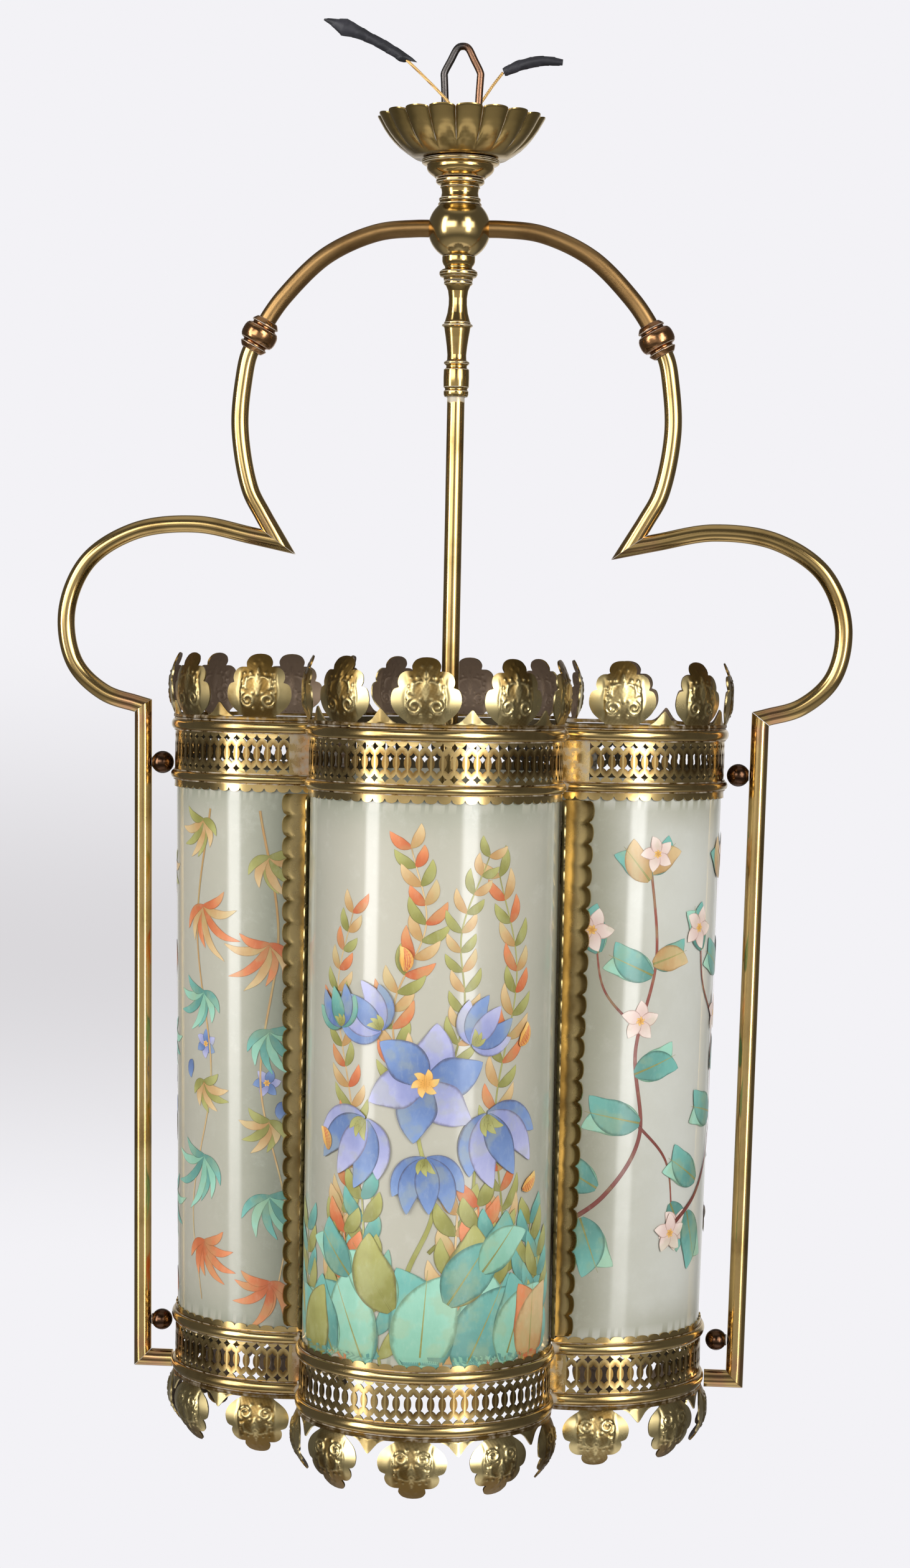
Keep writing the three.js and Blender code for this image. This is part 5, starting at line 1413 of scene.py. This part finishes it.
def bulb():
    top = -66 - 10 - 5.7 - SEAT
    foot = top - 24
    pin_z = top - 11
    form = Form()
    lathe(form, [(0.0, top), (10.2, top), (10.9, top - 0.7), (10.9, foot + 3.4), (10.6, foot + 2.6),
                 (10.6, foot + 1.6), (10.9, foot + 0.8), (10.9, foot), (10.1, foot), (10.1, top - 2),
                 (0.0, top - 2)], 72, soft=0.3, closed=False)
    for side in (1, -1):
        pin = [(0.0, 13.4), (0.75, 13.4), (1.05, 13.1), (1.05, 9.2), (0.0, 9.2)]
        lathe(form, pin, 20, soft=0.1, closed=False,
              place=lambda p: Vector((p.x, side * p.z, pin_z + p.y)))
    fine("bulb_cap", form, [INNER_BRASS], body="bulb")
    middle = foot - 84 + 30
    outline = [(9.8, foot + 7), (9.8, foot - 2), (10.4, foot - 6), (12.4, foot - 11), (15.6, foot - 17),
               (20.6, middle + 24)]
    outline += [(30 * cos(a), middle + 30 * sin(a)) for a in range(38, -90, -4)] + [(0.0, middle - 30)]
    skin = [(max(0.0, p.x), p.z) for p in rounded_path(upright(outline))]
    form = Form()
    lathe(form, skin + [(max(0.0, r - 1), z + (1 if r < 14 else 0)) for r, z in skin[::-1]], 72, soft=0.2)
    fine("bulb_glass", form, [PEARL], slot="bulb_glass", body="bulb")


# Room: two tall soft boxes, a pale backdrop with a shadow painted low on its left, and floor
BACKDROP = shade(243, 242, 246)
# The colour of a shadow painted on the backdrop, low on its left.
BACKDROP_SHADOW = shade(218, 216, 219)
BRIGHTEST = 12.0
LANTERN_MIDDLE = Vector((0, 0, -0.35))
FLOOR_R = 1.45
FLOOR_Z = -2.3


def soft_box(name, place, width, height, watts):
    """A tall soft light that faces the lantern's middle."""
    lamp = bpy.data.lights.new(name, "AREA")
    lamp.shape = "RECTANGLE"
    lamp.size = width
    lamp.size_y = height
    lamp.energy = watts
    made = bpy.data.objects.new(name, lamp)
    scene.collection.objects.link(made)
    facing_way = (LANTERN_MIDDLE - Vector(place)).to_track_quat("-Z", "Z")
    made.matrix_world = Matrix.Translation(place) @ facing_way.to_matrix().to_4x4()
    made.visible_camera = False
    made.visible_glossy = False


def lit_window(world, way, turned, half_wide, high, half_tall):
    """A soft-edged bright window that brass mirrors, turned from the front in degrees to the right."""
    ahead = world.dot(way, sin(turned), -cos(turned), 0)
    aside = world.dot(way, cos(turned), sin(turned), 0)
    up = world.dot(way, 0, 0, 1)
    wide = 1 - world.ease(world.sum("ABSOLUTE", aside), half_wide * 0.55, half_wide * 1.35)
    tall = 1 - world.ease(world.sum("ABSOLUTE", up - high), half_tall * 0.7, half_tall * 1.3)
    return wide * tall * world.ease(ahead, 0.0, 0.2)


def studio():
    soft_box("left soft box", (-1.42, -1.02, 0.05), 0.62, 1.25, 30)
    soft_box("right soft box", (1.12, -1.42, 0.05), 0.72, 1.25, 32)
    room_light()
    floor()


def room_light():
    world = Finish(bpy.data.worlds.new("room"))
    scene.world = world.owner
    way = world.node("TexCoord", out=0)
    across, back, height = world.dot(way, 1, 0, 0), world.dot(way, 0, 1, 0), world.dot(way, 0, 0, 1)
    front = 1 - world.ease(back, -0.75, -0.1)
    window = world.ease(height, -0.5, -0.12) * (1 - world.ease(height, -0.12, 0.3)) * front
    ceiling = world.ease(height, 0.72, 0.95)
    ground = 1 - world.ease(height, -0.75, -0.45)
    behind = world.ease(back, 0.82, 0.97)
    # left and low mask the painted shadow on the backdrop, low on its left, in the colour the camera sees.
    left = 1 - world.ease(across, -0.17, -0.02)
    low = (1 - world.ease(height, -0.1, 0.01)) * world.ease(height, -0.2, -0.1)
    backdrop_with_painted_shadow = world.mix(BACKDROP, BACKDROP_SHADOW, left * low)
    seen, mirrored, through = [world.node("LightPath", out=f"Is {kind} Ray")
                               for kind in ("Camera", "Glossy", "Transmission")]
    room = world.node("Background", None, {"Color": backdrop_with_painted_shadow, "Strength": 1.0})
    boxes = lit_window(world, way, -54, 0.12, 0.16, 0.36) + lit_window(world, way, 38, 0.135, 0.16, 0.36)
    upper = lit_window(world, way, -29, 0.34, 0.19, 0.15) + lit_window(world, way, 38, 0.34, 0.19, 0.15)
    lights = world.sum("MAXIMUM", boxes * 8.5, upper * 4.5)
    glow = 0.11 + lights + window * 0.44 + ceiling * 0.42 + ground * 0.2 + behind * 0.7
    white = (1.0, 1.0, 1.0, 1)
    dark = world.node("Background", None, {"Color": white, "Strength": 0.0})
    bright = world.node("Background", None, {"Color": white, "Strength": BRIGHTEST})
    reflected = world.node("MixShader", None, {0: glow * (1 / BRIGHTEST), 1: dark, 2: bright})
    soft = world.node("Background", None, {"Color": (0.96, 0.97, 1.0, 1), "Strength": 0.42})
    shown = world.node("MixShader", None, {0: mirrored, 1: soft, 2: reflected})
    shown = world.node("MixShader", None, {0: world.sum("MAXIMUM", seen, through), 1: shown, 2: room})
    world.surface(shown)


def floor():
    f = new_finish("pale_floor")
    spread = f.node("VectorMath", {"operation": "LENGTH"}, {0: f.place()}, 1)
    colour = f.mix(shade(220, 222, 226), shade(216, 218, 222), f.ease(f.clouds(9, 4), 0.4, 0.65))
    matt = f.node("BsdfPrincipled", None, {"Base Color": colour, "Roughness": 0.8})
    glow = f.node("Emission", None, {"Color": (*BACKDROP, 1), "Strength": 1.0})
    f.surface(f.node("MixShader", None, {0: f.ease(spread, 0.35, 0.9), 1: matt, 2: glow}))
    disc = bpy.data.meshes.new("floor")
    disc.from_pydata(round_row(FLOOR_R, 0, 72), [], [tuple(range(72))])
    disc.materials.append(f.owner)
    ground = bpy.data.objects.new("floor", disc)
    ground.location.z = FLOOR_Z
    scene.collection.objects.link(ground)


lead("left", -1.6)
lead("right", 1.6)
studio()
column()
arms()
spacers()
galleries()
beads()
leaf_borders()
posts()
solder_lumps()
glass()
paintings()
loop()
lampholder()
bulb()
